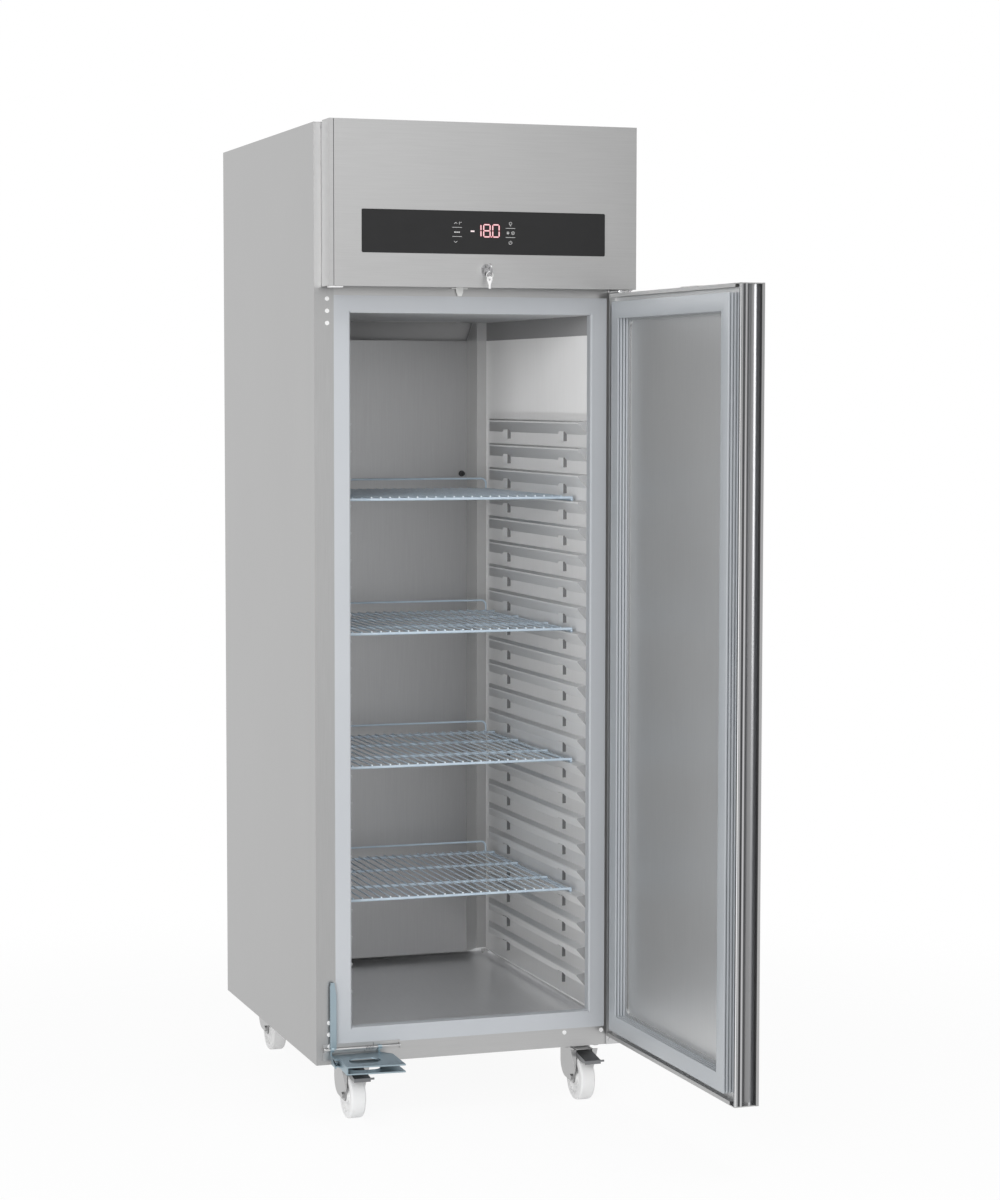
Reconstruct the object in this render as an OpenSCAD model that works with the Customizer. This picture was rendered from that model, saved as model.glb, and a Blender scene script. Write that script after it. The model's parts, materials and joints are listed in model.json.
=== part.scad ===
// Upright storage freezer on four castors: insulated cabinet, hinged door,
// wire shelves on pressed rails, hinged control fascia and a foot pedal.
// Millimetres. Z is up, the floor is z = 0, the door opens towards -Y.
// Every module draws its piece in the cabinet's own frame: x = 0 is the left
// side, y = 0 the plane of the front flange and z = 0 the floor.

/* [Cabinet] */
// Width of the cabinet body
body_w = 695; // [660:1:740]
// Depth of the cabinet body behind the front flange
body_d = 820; // [780:1:880]
// Height of the cabinet body from its underside to its top
body_h = 1989; // [1900:1:2080]
// Height of the underside above the floor
castor_h = 124; // [112:1:140]
// Thickness of the stainless sheet
sheet = 1.2; // [0.8:0.1:1.6]
// Width of the folded flanges on the rear and the base
fold = 18; // [12:1:24]

/* [Insulation] */
// Thickness of each side wall
wall_side = 70; // [62:1:76]
// Thickness of the rear wall
wall_back = 80; // [60:1:90]
// Thickness of the floor
wall_floor = 66; // [56:1:72]
// Thickness of the ceiling
wall_top = 60; // [50:1:80]
// Inside height of the storage space
cavity_h = 1529; // [1500:1:1560]
// Radius of the cove between liner walls and floor
cove_r = 12; // [8:1:16]

/* [Front frame] */
// Width of the door opening
opening_w = 538; // [530:1:550]
// Height of the sill above the liner floor
sill_rise = 10.6; // [8:0.1:14]
// Width of the frame's sealing face
frame_face = 36; // [30:1:40]
// Depth of the frame behind its sealing face
frame_d = 24; // [16:1:30]

/* [Door] */
// Width of the door
door_w = 678.6; // [660:0.1:690]
// Gap between the door's rim and the front flange
rim_gap = 13; // [12:0.5:16]
// Thickness of the door from its rim to its outer skin
door_t = 52; // [48:1:60]
// Height of the door's lower edge above the underside
door_rise = 26; // [22:1:32]
// Gap between the door's upper edge and the fascia
door_top_gap = 8; // [7:0.5:12]
// Distance of the hinge axis from the door's hinge edge
hinge_in = 15; // [13:0.5:18]
// Distance of the hinge axis behind the outer skin
hinge_back = 19; // [17:0.5:24]
// Angle at which the door stands open at rest
door_open = 91; // [80:1:100]
// Radius of the hinge pins
hinge_pin_r = 4; // [3:0.5:5]
// Depth of the pressed recess inside the gasket
panel_recess = 4; // [2:0.5:8]

/* [Gasket] */
// Width of the gasket across its sealing face
gasket_w = 36; // [30:1:40]
// Height of the gasket above the door's inner panel
gasket_h = 24.7; // [20:0.1:28]
// Gap between the closed gasket and the frame
gasket_gap = 0.3; // [0.2:0.1:0.8]
// Depth of the bellows grooves
bellows = 4; // [2:0.5:6]

/* [Grip] */
// Depth of the finger channel along the free edge
grip_depth = 15; // [10:1:18]
// Width of the finger channel along the free edge
grip_w = 26; // [22:1:30]

/* [Shelf rails] */
// Number of rail pairs
rail_count = 22; // [16:1:22]
// Vertical distance between two rails
rail_pitch = 57.8; // [52:0.1:60]
// Height of the lowest rail above the liner floor
rail_first = 83.5; // [70:0.5:90]
// Projection of a rail from the wall
rail_out = 22; // [18:1:24]
// Height of a rail's sloping underside
rail_drop = 27; // [20:1:32]
// Distance of the rails' front ends behind the flange
rail_front = 40; // [34:1:60]
// Length of the rails
rail_len = 676; // [640:1:690]

/* [Shelves] */
// Width of a wire shelf
shelf_w = 530; // [526:1:534]
// Depth of a wire shelf
shelf_d = 542; // [520:1:580]
// Distance of the shelves' front edge behind the flange
shelf_front = 94; // [80:1:110]
// Diameter of the shelf's frame wire
frame_wire = 6; // [5:0.5:7]
// Diameter of the lengthwise wires
grid_wire = 3.5; // [3:0.5:4]
// Number of lengthwise wires that run over the front bar
grid_count = 20; // [16:1:20]
// Distance between two lengthwise wires
grid_pitch = 20.65; // [19:0.05:21]
// Height of the rear stop above the shelf
stop_h = 27; // [20:1:32]

/* [Air duct] */
// Depth of the duct panel in front of the rear wall
duct_d = 38; // [30:1:46]
// Width of the duct panel's flat face
duct_w = 432; // [400:1:440]
// Gap between the duct panel and the floor
duct_gap = 15; // [12:1:22]
// Height of the air slot between the duct panel and the ceiling
duct_slot = 44; // [36:1:60]

/* [Fascia] */
// Height of the fascia
fascia_h = 343.6; // [330:0.1:360]
// Amount by which the fascia stands above the body
fascia_over = 2.7; // [0:0.1:5]
// Width of the display glass
glass_w = 537.7; // [480:0.1:560]
// Height of the display glass
glass_h = 89.5; // [80:0.5:100]
// Distance of the glass above the fascia's lower edge
glass_rise = 69.8; // [60:0.1:90]
// Distance of the glass from the fascia's left edge
glass_left = 68.9; // [50:0.1:80]
// Corner radius of the glass
glass_r = 3; // [1:0.5:6]
// Height of the lock above the fascia's lower edge
lock_rise = 36.7; // [32:0.1:45]
// Distance of the lock from the fascia's left edge
lock_left = 341.6; // [250:0.1:420]

/* [Castors] */
// Diameter of the wheels
wheel_d = 100; // [90:1:100]
// Width of the wheels
wheel_w = 33; // [28:1:36]
// Distance from the side of the body to each castor's swivel axis
castor_side = 87; // [75:1:110]
// Distance from the front flange to the front castors' swivel axis
castor_front = 60; // [54:1:80]
// Distance from the back of the body to the rear castors' swivel axis
castor_rear = 79; // [70:1:100]
// Distance of the wheel axle ahead of the swivel axis
castor_trail = 35; // [28:1:40]
// Thickness of the castor fork's steel
fork_t = 3; // [2.5:0.5:4]
// Radius of the wheel axle
axle_r = 5; // [4:0.5:6]

/* [Pedal] */
// Width of the pedal's tread
tread_w = 126; // [110:1:140]
// Depth of the pedal's tread
tread_d = 98; // [80:1:110]
// Distance between the pedal's two plates
tread_gap = 12; // [8:1:16]
// Thickness of the pedal's steel
pedal_t = 3; // [2:0.5:4]
// Height of the door lifter above the pedal's pivot
lifter_h = 145; // [110:1:160]
// Slope of the tread towards the front
tread_tilt = 3; // [0:1:10]

/* [Running fits] */
// Radial clearance of pins and shafts in their bores
fit = 0.05; // [0.03:0.01:0.08]
// Gap between faces that slide past each other
slip = 0.3; // [0.2:0.05:0.5]

/* [Hidden] */
$fn = 48;
SKIN = "gainsboro";
DARK = "dimgray";
FRAME = "lightsteelblue";
STEEL = "silver";

// Cabinet levels and planes
mid_x = body_w / 2;
body_top = castor_h + body_h;
cav_x0 = wall_side;
cav_x1 = body_w - wall_side;
cav_y1 = body_d - wall_back;
cav_z0 = castor_h + wall_floor;
cav_z1 = cav_z0 + cavity_h;
deck_z = cav_z1 + wall_top;

// Front frame
open_x0 = mid_x - opening_w / 2;
open_x1 = mid_x + opening_w / 2;
open_z0 = cav_z0 + sill_rise;
open_z1 = cav_z1;
frame_x0 = open_x0 - frame_face;
frame_x1 = open_x1 + frame_face;
frame_z0 = open_z0 - frame_face;
frame_z1 = open_z1 + frame_face;
frame_chamfer = 3;

// Door, drawn closed and then swung open about its hinge axis
front_out = rim_gap + door_t;
door_x0 = body_w - door_w;
door_z0 = castor_h + door_rise;
fascia_z1 = body_top + fascia_over;
fascia_z0 = fascia_z1 - fascia_h;
door_z1 = fascia_z0 - door_top_gap;
hinge_x = body_w - hinge_in;
hinge_y = hinge_back - front_out;
panel_y = -gasket_gap - gasket_h;
rim_w = 6;
grip_in = grip_depth + 9;
cap_t = 2;
foam_y0 = -front_out + sheet;
boss_r = hinge_pin_r + 4;
boss_h = 24;
gasket_in_x = 1;
gasket_in_z = 9;
gasket_x0 = frame_x0 + gasket_in_x;
gasket_x1 = frame_x1 - gasket_in_x;
gasket_z0 = frame_z0 + gasket_in_z;
gasket_z1 = frame_z1 - gasket_in_z;
groove_h = 2.4;
groove_count = 3;
bead_h = (gasket_h - groove_count * groove_h) / (groove_count + 1);

// Outer box of the whole object at rest, which places its origin
tip_x = hinge_x + (door_w - hinge_in) * -cos(door_open) + hinge_back * sin(door_open);
tip_y = hinge_y - (door_w - hinge_in) * sin(door_open) + (door_t - hinge_back) * cos(door_open);
gland_out = 12;
gland_r = 8;
origin_x = tip_x / 2;
origin_y = (tip_y + body_d + gland_out) / 2;

// Hinge brackets
plate_t = 3;
hinge_plate_w = 34;

// Shelf rails and shelves
rail_x = cav_x1 - rail_out;
panel_t = 1.5;
rail_nose = 3;
rail_rise = 3;
rail_top = cav_z0 + rail_first + (rail_count - 1) * rail_pitch;
stop_tab_w = 32;
shelf_rail = [4, 9, 14, 19];
shelf_x0 = mid_x - shelf_w / 2;
shelf_x1 = mid_x + shelf_w / 2;
cross_lift = 4.5;
grid_lift = 4.3;
stop_in = 24;
stop_bend = 12;

// Machine compartment
deck_upstand = 50;
cover_wall = 25;
vent_d = 40;
vent_y0 = cav_y1 - duct_d - vent_d - 12;
evap_x0 = cav_x0 + 60;
evap_x1 = cav_x1 - 60;
evap_y0 = cav_y1 - 310;
evap_y1 = cav_y1 - 10;
evap_rise = 120;
evap_fan_r = 60;
evap_fan_z = (cav_z1 + deck_z + evap_rise - cover_wall) / 2;
evap_fan_y = evap_y0 + 60;
pipe_z = deck_z + evap_rise - cover_wall - 30;
liquid_x = evap_x1 - 80;
suction_r = 6;
liquid_r = 4;
cond_x0 = 70;
cond_w = 330;
cond_y0 = 40;
cond_d = 66;
cond_h = 250;
cond_fan_r = 100;
cond_fan_y = cond_y0 + cond_d + 40;
cond_z = deck_z + sheet;
comp_x = 540;
comp_y = 170;
comp_r = 82;
comp_h = 190;
shaft_r = 4;
motor_r = 32;
motor_len = 44;
fan_width = 26;

// Fascia, its hinge line, the glass and the lock
fascia_x0 = door_x0;
fascia_x1 = body_w;
lip = 11;
flange_gap = 1.5;
ear_y = -8;
ear_z = fascia_z1 - 9.7;
ear_pin_r = 2.5;
ear_t = 2.5;
ear_r = 6.5;
glass_x0 = fascia_x0 + glass_left;
glass_z0 = fascia_z0 + glass_rise;
glass_t = 5;
glass_proud = 0.6;
lock_x = fascia_x0 + lock_left;
lock_z = fascia_z0 + lock_rise;
lock_r = 9.5;
barrel_r = 7;
barrel_end = -front_out + 13;
tongue_t = 2.5;
tongue_len = lock_rise + door_top_gap - 1;
tongue_w = 12;
bow_r = 13;
bow_hole = 6;
key_t = 2;
key_y = -front_out - 21;
key_bite = 9;
ring_r = 7;
ring_wire = 0.8;
ring_gap = 0.6;
ring_z = lock_z - bow_hole + ring_gap + ring_wire;
spare_bow_r = 6.5;
spare_hole = 3;
rocker_x = 317;

// Door catch: two pads that stand behind the lock's turned tongue
pad_w = 37;
pad_h = 3.5;
pad_y0 = barrel_end + tongue_t + 1.5;
pad_d = 14;

// Pedal
pivot_r = 3.2;
pivot_y = -7.5;
pivot_z = castor_h + 33;
knuckle_r = 4.9;
knuckle_w = 8;
bracket_x0 = 14;
bracket_x1 = 184;
bracket_t = 2;
ear_w = 3;
tread_x0 = 38;
tread_rise = -10;
tread_back = 4;
tread_slant = 10;
plate_low = tread_rise - pedal_t - tread_gap;
right_knuckle_x = tread_x0 + tread_w - 30;
lifter_x0 = 28;
lifter_w = frame_x0 - 1 - lifter_x0;
lifter_t = 6;
spring_x0 = 106;
spring_turns = 6;
spring_pitch = 3.2;
spring_wire = 0.6;
spring_r = pivot_r + spring_wire + slip;

// Castors
fork_gap = wheel_w / 2 + 2;
race_h = 6;
castor_plate_t = 3;
castor_plate_w = 96;
castor_plate_d = 84;
crown_z = castor_h - castor_plate_t - race_h - slip;
axle_z = wheel_d / 2;
rear_y = body_d - castor_rear;
right_x = body_w - castor_side;
fork_front = -castor_trail - 22;
fork_rear = 37;
fork_rear_r = 36;
fork_low = axle_z - 8;
king_r = 6;
nut_r = 9;
king_end = crown_z - 11;
brake_pivot_y = -50;
brake_pivot_z = crown_z - 9;
brake_pin_r = 2.5;
brake_reach = 112;
brake_drop = 13;
brake_t = 2.5;

// Moves a piece from the cabinet's own frame to the object's origin
module placed() {
  translate([-origin_x, -origin_y, 0]) children();
}

// Swings a piece drawn on the closed door to the open rest position
module on_door() {
  placed() translate([hinge_x, hinge_y, 0]) rotate([0, 0, door_open])
    translate([-hinge_x, -hinge_y, 0]) children();
}

// Box between two corners
module block(low, high) {
  translate(low) cube(high - low);
}

// Cylinder along X, Y or Z between two values of that axis
module bar_x(x0, x1, y, z, r) {
  translate([x0, y, z]) rotate([0, 90, 0]) cylinder(h = x1 - x0, r = r);
}
module bar_y(y0, y1, x, z, r) {
  translate([x, y0, z]) rotate([-90, 0, 0]) cylinder(h = y1 - y0, r = r);
}
module bar_z(z0, z1, x, y, r) {
  translate([x, y, z0]) cylinder(h = z1 - z0, r = r);
}

// Rectangle with true round corners
module round_rect(w, h, r) {
  translate([r, 0]) square([w - 2 * r, h]);
  translate([0, r]) square([w, h - 2 * r]);
  for (x = [r, w - r], y = [r, h - r]) translate([x, y]) circle(r = r);
}

// Extrudes a drawing of X and Z along Y, from y0 to y1
module sheet_xz(y0, y1) {
  translate([0, y1, 0]) rotate([90, 0, 0]) linear_extrude(y1 - y0) children();
}

// Extrudes a drawing of Y and Z along X, from x0 to x1
module sheet_yz(x0, x1) {
  translate([x0, 0, 0]) rotate([90, 0, 90]) linear_extrude(x1 - x0) children();
}

// Mirrors a piece of the right side to the left side of the cabinet
module mirrored() {
  translate([body_w, 0, 0]) mirror([1, 0, 0]) children();
}

// Tube bent at right angles along a list of corner points
function unit(v) = v / norm(v);
module bent_tube(points, r, bend) {
  last = len(points) - 1;
  for (i = [0 : last - 1]) {
    step = points[i + 1] - points[i];
    u = unit(step);
    start = i == 0 ? 0 : bend;
    end = i == last - 1 ? 0 : bend;
    translate(points[i] + start * u) rotate([0, acos(u[2]), atan2(u[1], u[0])])
      cylinder(h = norm(step) - start - end, r = r);
  }
  for (i = [1 : last - 1]) {
    u = unit(points[i] - points[i - 1]);
    v = unit(points[i + 1] - points[i]);
    w = cross(u, v);
    c = points[i] + bend * (v - u);
    multmatrix([[-v[0], u[0], w[0], c[0]], [-v[1], u[1], w[1], c[1]], [-v[2], u[2], w[2], c[2]]])
      rotate_extrude(angle = 90) translate([bend, 0]) circle(r = r);
  }
}

// Side panel: one folded sheet with a front flange and a rear return
module side_profile() {
  polygon([
    [0, 0], [frame_x0, 0], [frame_x0, sheet], [sheet, sheet], [sheet, body_d - sheet],
    [fold, body_d - sheet], [fold, body_d], [0, body_d]
  ]);
}
module side_sheet() {
  difference() {
    translate([0, 0, castor_h]) linear_extrude(body_h) side_profile();
    plug_holes();
  }
}
module side_panel_left() {
  placed() color(SKIN) side_sheet();
}
module side_panel_right() {
  placed() color(SKIN) mirrored() translate([0, 0, castor_h]) linear_extrude(body_h) side_profile();
}

// Back panel between the returns of the side panels
module back_panel() {
  placed() color(SKIN) {
    block([fold, body_d - sheet, castor_h + sheet], [body_w - fold, body_d, deck_z]);
    for (x = [fold + 8, body_w - fold - 8], i = [0 : 4])
      bar_y(body_d, body_d + 1.6, x, castor_h + 60 + i * (deck_z - castor_h - 120) / 4, 3.5);
  }
}

// Base tray: floor sheet with a front flange under the frame and a rear upstand
module base_tray() {
  placed() color(SKIN) difference() {
    union() {
      block([sheet, sheet, castor_h], [body_w - sheet, body_d - sheet, castor_h + sheet]);
      block([frame_x0, 0, castor_h], [frame_x1, sheet, frame_z0]);
      block([sheet, body_d - 2 * sheet, castor_h], [body_w - sheet, body_d - sheet, castor_h + fold]);
    }
    base_plug_holes();
  }
}

// Machine deck: lid sheet of the insulated body with a front flange above the frame
module machine_deck() {
  placed() color(SKIN) difference() {
    union() {
      block([sheet, sheet, deck_z], [body_w - sheet, body_d - sheet, deck_z + sheet]);
      block([frame_x0, 0, frame_z1], [frame_x1, sheet, deck_z + deck_upstand]);
    }
    block([evap_x0, evap_y0, deck_z - 1], [evap_x1, evap_y1, deck_z + sheet + 1]);
  }
}

// Machine cover: top sheet and louvred rear sheet in one fold
module machine_cover() {
  slot_w = 150;
  slot_h = 6;
  slot_step = 22;
  slot_z0 = deck_z + 60;
  placed() color(SKIN) difference() {
    union() {
      block([sheet, fold, body_top - sheet], [body_w - sheet, body_d - sheet, body_top]);
      block([fold, body_d - sheet, deck_z + sheet], [body_w - fold, body_d, body_top]);
      block([sheet, fold, body_top - fold], [body_w - sheet, fold + sheet, body_top]);
    }
    for (x = [70 : slot_w + 50 : body_w - slot_w - 40], i = [0 : 10])
      translate([x, 0, slot_z0 + i * slot_step]) sheet_xz(body_d - 2 * sheet, body_d + 1)
        round_rect(slot_w, slot_h, slot_h / 2 - 0.1);
    bar_y(body_d - 2 * sheet, body_d + 1, gland_x, gland_z, gland_r);
  }
}

// Foam between the outer panels and the liner
module insulation() {
  placed() color("khaki") difference() {
    union() {
      block([sheet, sheet, castor_h + fold], [body_w - sheet, body_d - sheet, deck_z]);
      block([sheet, sheet, castor_h + sheet], [body_w - sheet, body_d - 2 * sheet, castor_h + fold]);
    }
    block([cav_x0 - sheet, frame_d, cav_z0 - sheet], [cav_x1 + sheet, cav_y1 + sheet, cav_z1 + sheet]);
    block([frame_x0, -1, frame_z0], [frame_x1, frame_d, frame_z1]);
    block([evap_x0, evap_y0, cav_z1 + sheet], [evap_x1, evap_y1, deck_z + 1]);
    for (p = concat(plug_points, base_plug_points)) bar_y(0, 8, p[0], p[1], plug_stem_r + 1);
  }
}

// Liner: side walls, rear wall and a ceiling with the return and supply air vents
module inner_liner() {
  placed() color(STEEL) difference() {
    block([cav_x0 - sheet, frame_d, cav_z0], [cav_x1 + sheet, cav_y1 + sheet, cav_z1 + sheet]);
    block([cav_x0, frame_d - 1, cav_z0 - 1], [cav_x1, cav_y1, cav_z1]);
    block([evap_x0 + 20, vent_y0, cav_z1 - 1], [evap_x1 - 20, vent_y0 + vent_d, cav_z1 + sheet + 1]);
    block([evap_x0 + 20, cav_y1 - duct_d + 4, cav_z1 - 1], [evap_x1 - 20, evap_y1, cav_z1 + sheet + 1]);
  }
}

// Liner floor: pressed tray with coved edges
module liner_floor() {
  floor_w = cav_x1 - cav_x0;
  floor_len = cav_y1 - frame_d;
  placed() color(STEEL) {
    block([cav_x0 - sheet, frame_d, cav_z0 - sheet], [cav_x1 + sheet, cav_y1 + sheet, cav_z0]);
    translate([cav_x0, frame_d, cav_z0]) cove(floor_len);
    mirrored() translate([body_w - cav_x1, frame_d, cav_z0]) cove(floor_len);
    translate([cav_x0 + cove_r, cav_y1, cav_z0]) rotate([0, 0, -90]) cove(floor_w - 2 * cove_r);
  }
}
module cove_profile() {
  difference() {
    square([cove_r, cove_r]);
    translate([cove_r, cove_r]) circle(r = cove_r);
  }
}
module cove(length) {
  translate([0, length, 0]) rotate([90, 0, 0]) linear_extrude(length) cove_profile();
}

// Front frame: profile ring that breaks the cold bridge, with a small inner bevel
module front_frame() {
  placed() color(FRAME) difference() {
    block([frame_x0, 0, frame_z0], [frame_x1, frame_d, frame_z1]);
    block([open_x0, -1, open_z0], [open_x1, frame_d + 1, open_z1]);
    translate([open_x0 - frame_chamfer, 0, 0]) frame_bevel(open_z1 - open_z0 + 2 * frame_chamfer);
    translate([open_x1 + frame_chamfer, 0, 0]) mirror([1, 0, 0])
      frame_bevel(open_z1 - open_z0 + 2 * frame_chamfer);
  }
}
module frame_bevel(height) {
  translate([0, 0, open_z0 - frame_chamfer]) linear_extrude(height)
    polygon([
      [0, -1], [frame_chamfer + 1, -1], [frame_chamfer + 1, 0], [frame_chamfer, frame_chamfer], [0, 0]
    ]);
}

// White plugs in the spare hinge holes of the flanges
plug_r = 4.6;
plug_stem_r = 2.5;
plug_column_x = 28;
plug_top = frame_z1 - 7.6;
plug_low = castor_h + 39.6;
plug_step = 25.4;
plug_points = concat(
  [for (i = [0 : 2]) [plug_column_x, plug_top - i * plug_step]],
  [for (i = [0 : 2]) [plug_column_x, plug_low + i * plug_step]]
);
base_plug_points = [[body_w - 135, castor_h + 32.5], [body_w - 49, castor_h + 32.5]];
module plug_holes() {
  for (p = plug_points) bar_y(-1, 2 * sheet, p[0], p[1], plug_stem_r);
}
module base_plug_holes() {
  for (p = base_plug_points) bar_y(-1, 2 * sheet, p[0], p[1], plug_stem_r);
}
module hole_plugs() {
  placed() color("white") for (p = concat(plug_points, base_plug_points)) {
    bar_y(-1.4, 0, p[0], p[1], plug_r);
    bar_y(0, 6, p[0], p[1], plug_stem_r);
  }
}

// Shelf rails: a wall panel with pressed ledges, sloping below and hooked tabs
module rail_profile() {
  polygon([
    [cav_x1 - panel_t, rail_rise], [rail_x, 0], [rail_x, -rail_nose], [cav_x1 - panel_t, -rail_drop]
  ]);
}
module rail_plan() {
  polygon([
    [rail_x, rail_front], [cav_x1, rail_front],
    [cav_x1, rail_front + rail_len], [rail_x, rail_front + rail_len - 3 * rail_out]
  ]);
}
module rail_tab(y) {
  tab_out = 8;
  sheet_yz(cav_x1 - panel_t - tab_out, cav_x1 - panel_t)
    translate([y, -rail_drop - 15]) square([stop_tab_w, 21]);
}
module shelf_rails() {
  block([cav_x1 - panel_t, rail_front - 10, cav_z0 + cove_r + 6],
        [cav_x1, rail_front + rail_len + 6, rail_top + 20]);
  for (i = [0 : rail_count - 1]) translate([0, 0, cav_z0 + rail_first + i * rail_pitch]) {
    intersection() {
      sheet_xz(0, rail_front + rail_len + 1) rail_profile();
      translate([0, 0, -rail_drop - 1]) linear_extrude(rail_drop + rail_rise + 2) rail_plan();
    }
    rail_tab(rail_front + 129);
    rail_tab(rail_front + rail_len - 162);
  }
}
module shelf_rails_right() {
  placed() color(STEEL) shelf_rails();
}
module shelf_rails_left() {
  placed() color(STEEL) mirrored() shelf_rails();
}

// Duct panel: folded sheet that leads the cold air down the rear wall
module duct_panel() {
  x0 = mid_x - duct_w / 2;
  x1 = mid_x + duct_w / 2;
  y0 = cav_y1 - duct_d;
  t = panel_t;
  low = cav_z0 + duct_gap;
  high = cav_z1 - duct_slot;
  placed() color(STEEL) {
    difference() {
      translate([0, 0, low]) linear_extrude(cav_z1 - low - slip) polygon([
        [x0 - duct_d, cav_y1], [x0, y0], [x1, y0], [x1 + duct_d, cav_y1],
        [x1 + duct_d - 2 * t, cav_y1], [x1 - t, y0 + t], [x0 + t, y0 + t], [x0 - duct_d + 2 * t, cav_y1]
      ]);
      block([x0 + t, y0 - 1, high], [x1 - t, y0 + 2 * t, cav_z1]);
      sheet_yz(x0 - duct_d, x1 + duct_d)
        polygon([[y0 - 1, high], [y0 + 20, cav_z1], [y0 - 1, cav_z1]]);
      sensor_hole();
    }
  }
}

// Air temperature sensor: clip with a small probe on the duct panel
sensor_x = mid_x + duct_w / 2 - 14;
sensor_z = cav_z0 + 1170;
module sensor_hole() {
  bar_y(cav_y1 - duct_d - 1, cav_y1 - duct_d + 2 * panel_t, sensor_x, sensor_z, 4);
}
module temperature_sensor() {
  face = cav_y1 - duct_d;
  placed() color("black") {
    bar_y(face - 4, face, sensor_x, sensor_z, 7);
    bar_y(face - 14, face - 4, sensor_x, sensor_z, 5);
    bar_y(face, face + 12, sensor_x, sensor_z, 3.8);
  }
}

// Finned coil: aluminium fins on rows of copper tube
module coil(size, fins, rows, r) {
  step = (size[0] - 1) / (fins - 1);
  row_z = size[2] / rows;
  for (i = [0 : fins - 1]) translate([i * step, 0, 0]) cube([1, size[1], size[2]]);
  for (j = [0 : rows - 1], y = [0.3, 0.7])
    bar_x(-8, size[0] + 8, size[1] * y, row_z * (j + 0.5), r);
  for (y = [0, size[1] - 2]) translate([0, y, 0]) {
    cube([size[0], 2, 3]);
    translate([0, 0, size[2] - 3]) cube([size[0], 2, 3]);
  }
}
evap_coil = [evap_x1 - evap_x0 - 60, 110, 120];
module evaporator() {
  placed() color(STEEL) {
    translate([evap_x0 + 30, evap_y1 - 150, cav_z1 + 20]) coil(evap_coil, 28, 4, 5);
    for (x = [evap_x0 + 60, evap_x1 - 62])
      block([x, evap_y1 - 150, cav_z1 + 20 + evap_coil[2] - 1],
            [x + 2, evap_y1 - 40, deck_z + evap_rise - cover_wall]);
  }
}
module condenser() {
  placed() color(DARK) translate([cond_x0, cond_y0, cond_z]) {
    coil([cond_w, cond_d, cond_h], 34, 8, 5);
    for (x = [-3, cond_w + 1]) translate([x, 0, 0]) cube([2, cond_d + 30, cond_h]);
  }
}

// Evaporator cover: insulated lid over the coil, with a fan plate inside
module evaporator_cover() {
  outer = 20;
  top = deck_z + evap_rise;
  placed() color("whitesmoke") difference() {
    block([evap_x0 - outer, evap_y0 - outer, deck_z + sheet], [evap_x1 + outer, evap_y1 + outer, top]);
    block([evap_x0, evap_y0, deck_z], [evap_x1, evap_y1, top - cover_wall]);
    bar_y(evap_y0 - outer - 1, evap_y0 + 1, comp_x, pipe_z, suction_r + slip);
    bar_y(evap_y0 - outer - 1, evap_y0 + 1, liquid_x, pipe_z, liquid_r + slip);
  }
}

// Fan motor: can, ring mount with three arms, and a shaft towards the fan
module fan_motor(fan_r, reach) {
  bar_y(0, motor_len, 0, 0, motor_r);
  bar_y(-fan_width - 6, 0, 0, 0, shaft_r);
  for (a = [0 : 90 : 270]) rotate([0, a, 0]) block([0, motor_len - 8, -4], [reach, motor_len - 4, 4]);
  difference() {
    bar_y(motor_len - 8, motor_len - 4, 0, 0, reach + 6);
    bar_y(motor_len - 9, motor_len - 3, 0, 0, reach - 2);
  }
}
evap_reach = evap_fan_r + 4;
cond_reach = cond_fan_r + 6;
cond_fan_x = cond_x0 + cond_w / 2;
cond_fan_z = cond_z + cond_h / 2;
module fan_motors() {
  placed() color(DARK) {
    translate([mid_x, evap_fan_y, evap_fan_z]) {
      fan_motor(evap_fan_r, evap_reach);
      block([-6, motor_len - 8, evap_reach],
            [6, motor_len - 4, deck_z + evap_rise - cover_wall - evap_fan_z]);
    }
    translate([cond_fan_x, cond_fan_y, cond_fan_z]) {
      fan_motor(cond_fan_r, cond_reach);
      for (x = [-60, 60])
        block([x - 8, motor_len - 8, -cond_h / 2], [x + 8, motor_len - 4, -cond_reach + 20]);
    }
  }
}

// Fan: hub and five pitched blades
module fan(r) {
  hub_r = 22;
  blades = 5;
  difference() {
    union() {
      bar_y(-fan_width, -2, 0, 0, hub_r);
      intersection() {
        bar_y(-fan_width, -2, 0, 0, r);
        for (i = [0 : blades - 1]) rotate([0, i * 360 / blades, 0])
          translate([hub_r - 3, -fan_width / 2, 0]) rotate([38, 0, 0])
            translate([0, -1, -26]) cube([r, 2, 52]);
      }
    }
    bar_y(-fan_width - 1, 0, 0, 0, shaft_r + fit);
  }
}
module evaporator_fan() {
  placed() color("black") translate([mid_x, evap_fan_y, evap_fan_z]) fan(evap_fan_r);
}
module condenser_fan() {
  placed() color("black") translate([cond_fan_x, cond_fan_y, cond_fan_z]) fan(cond_fan_r);
}

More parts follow.
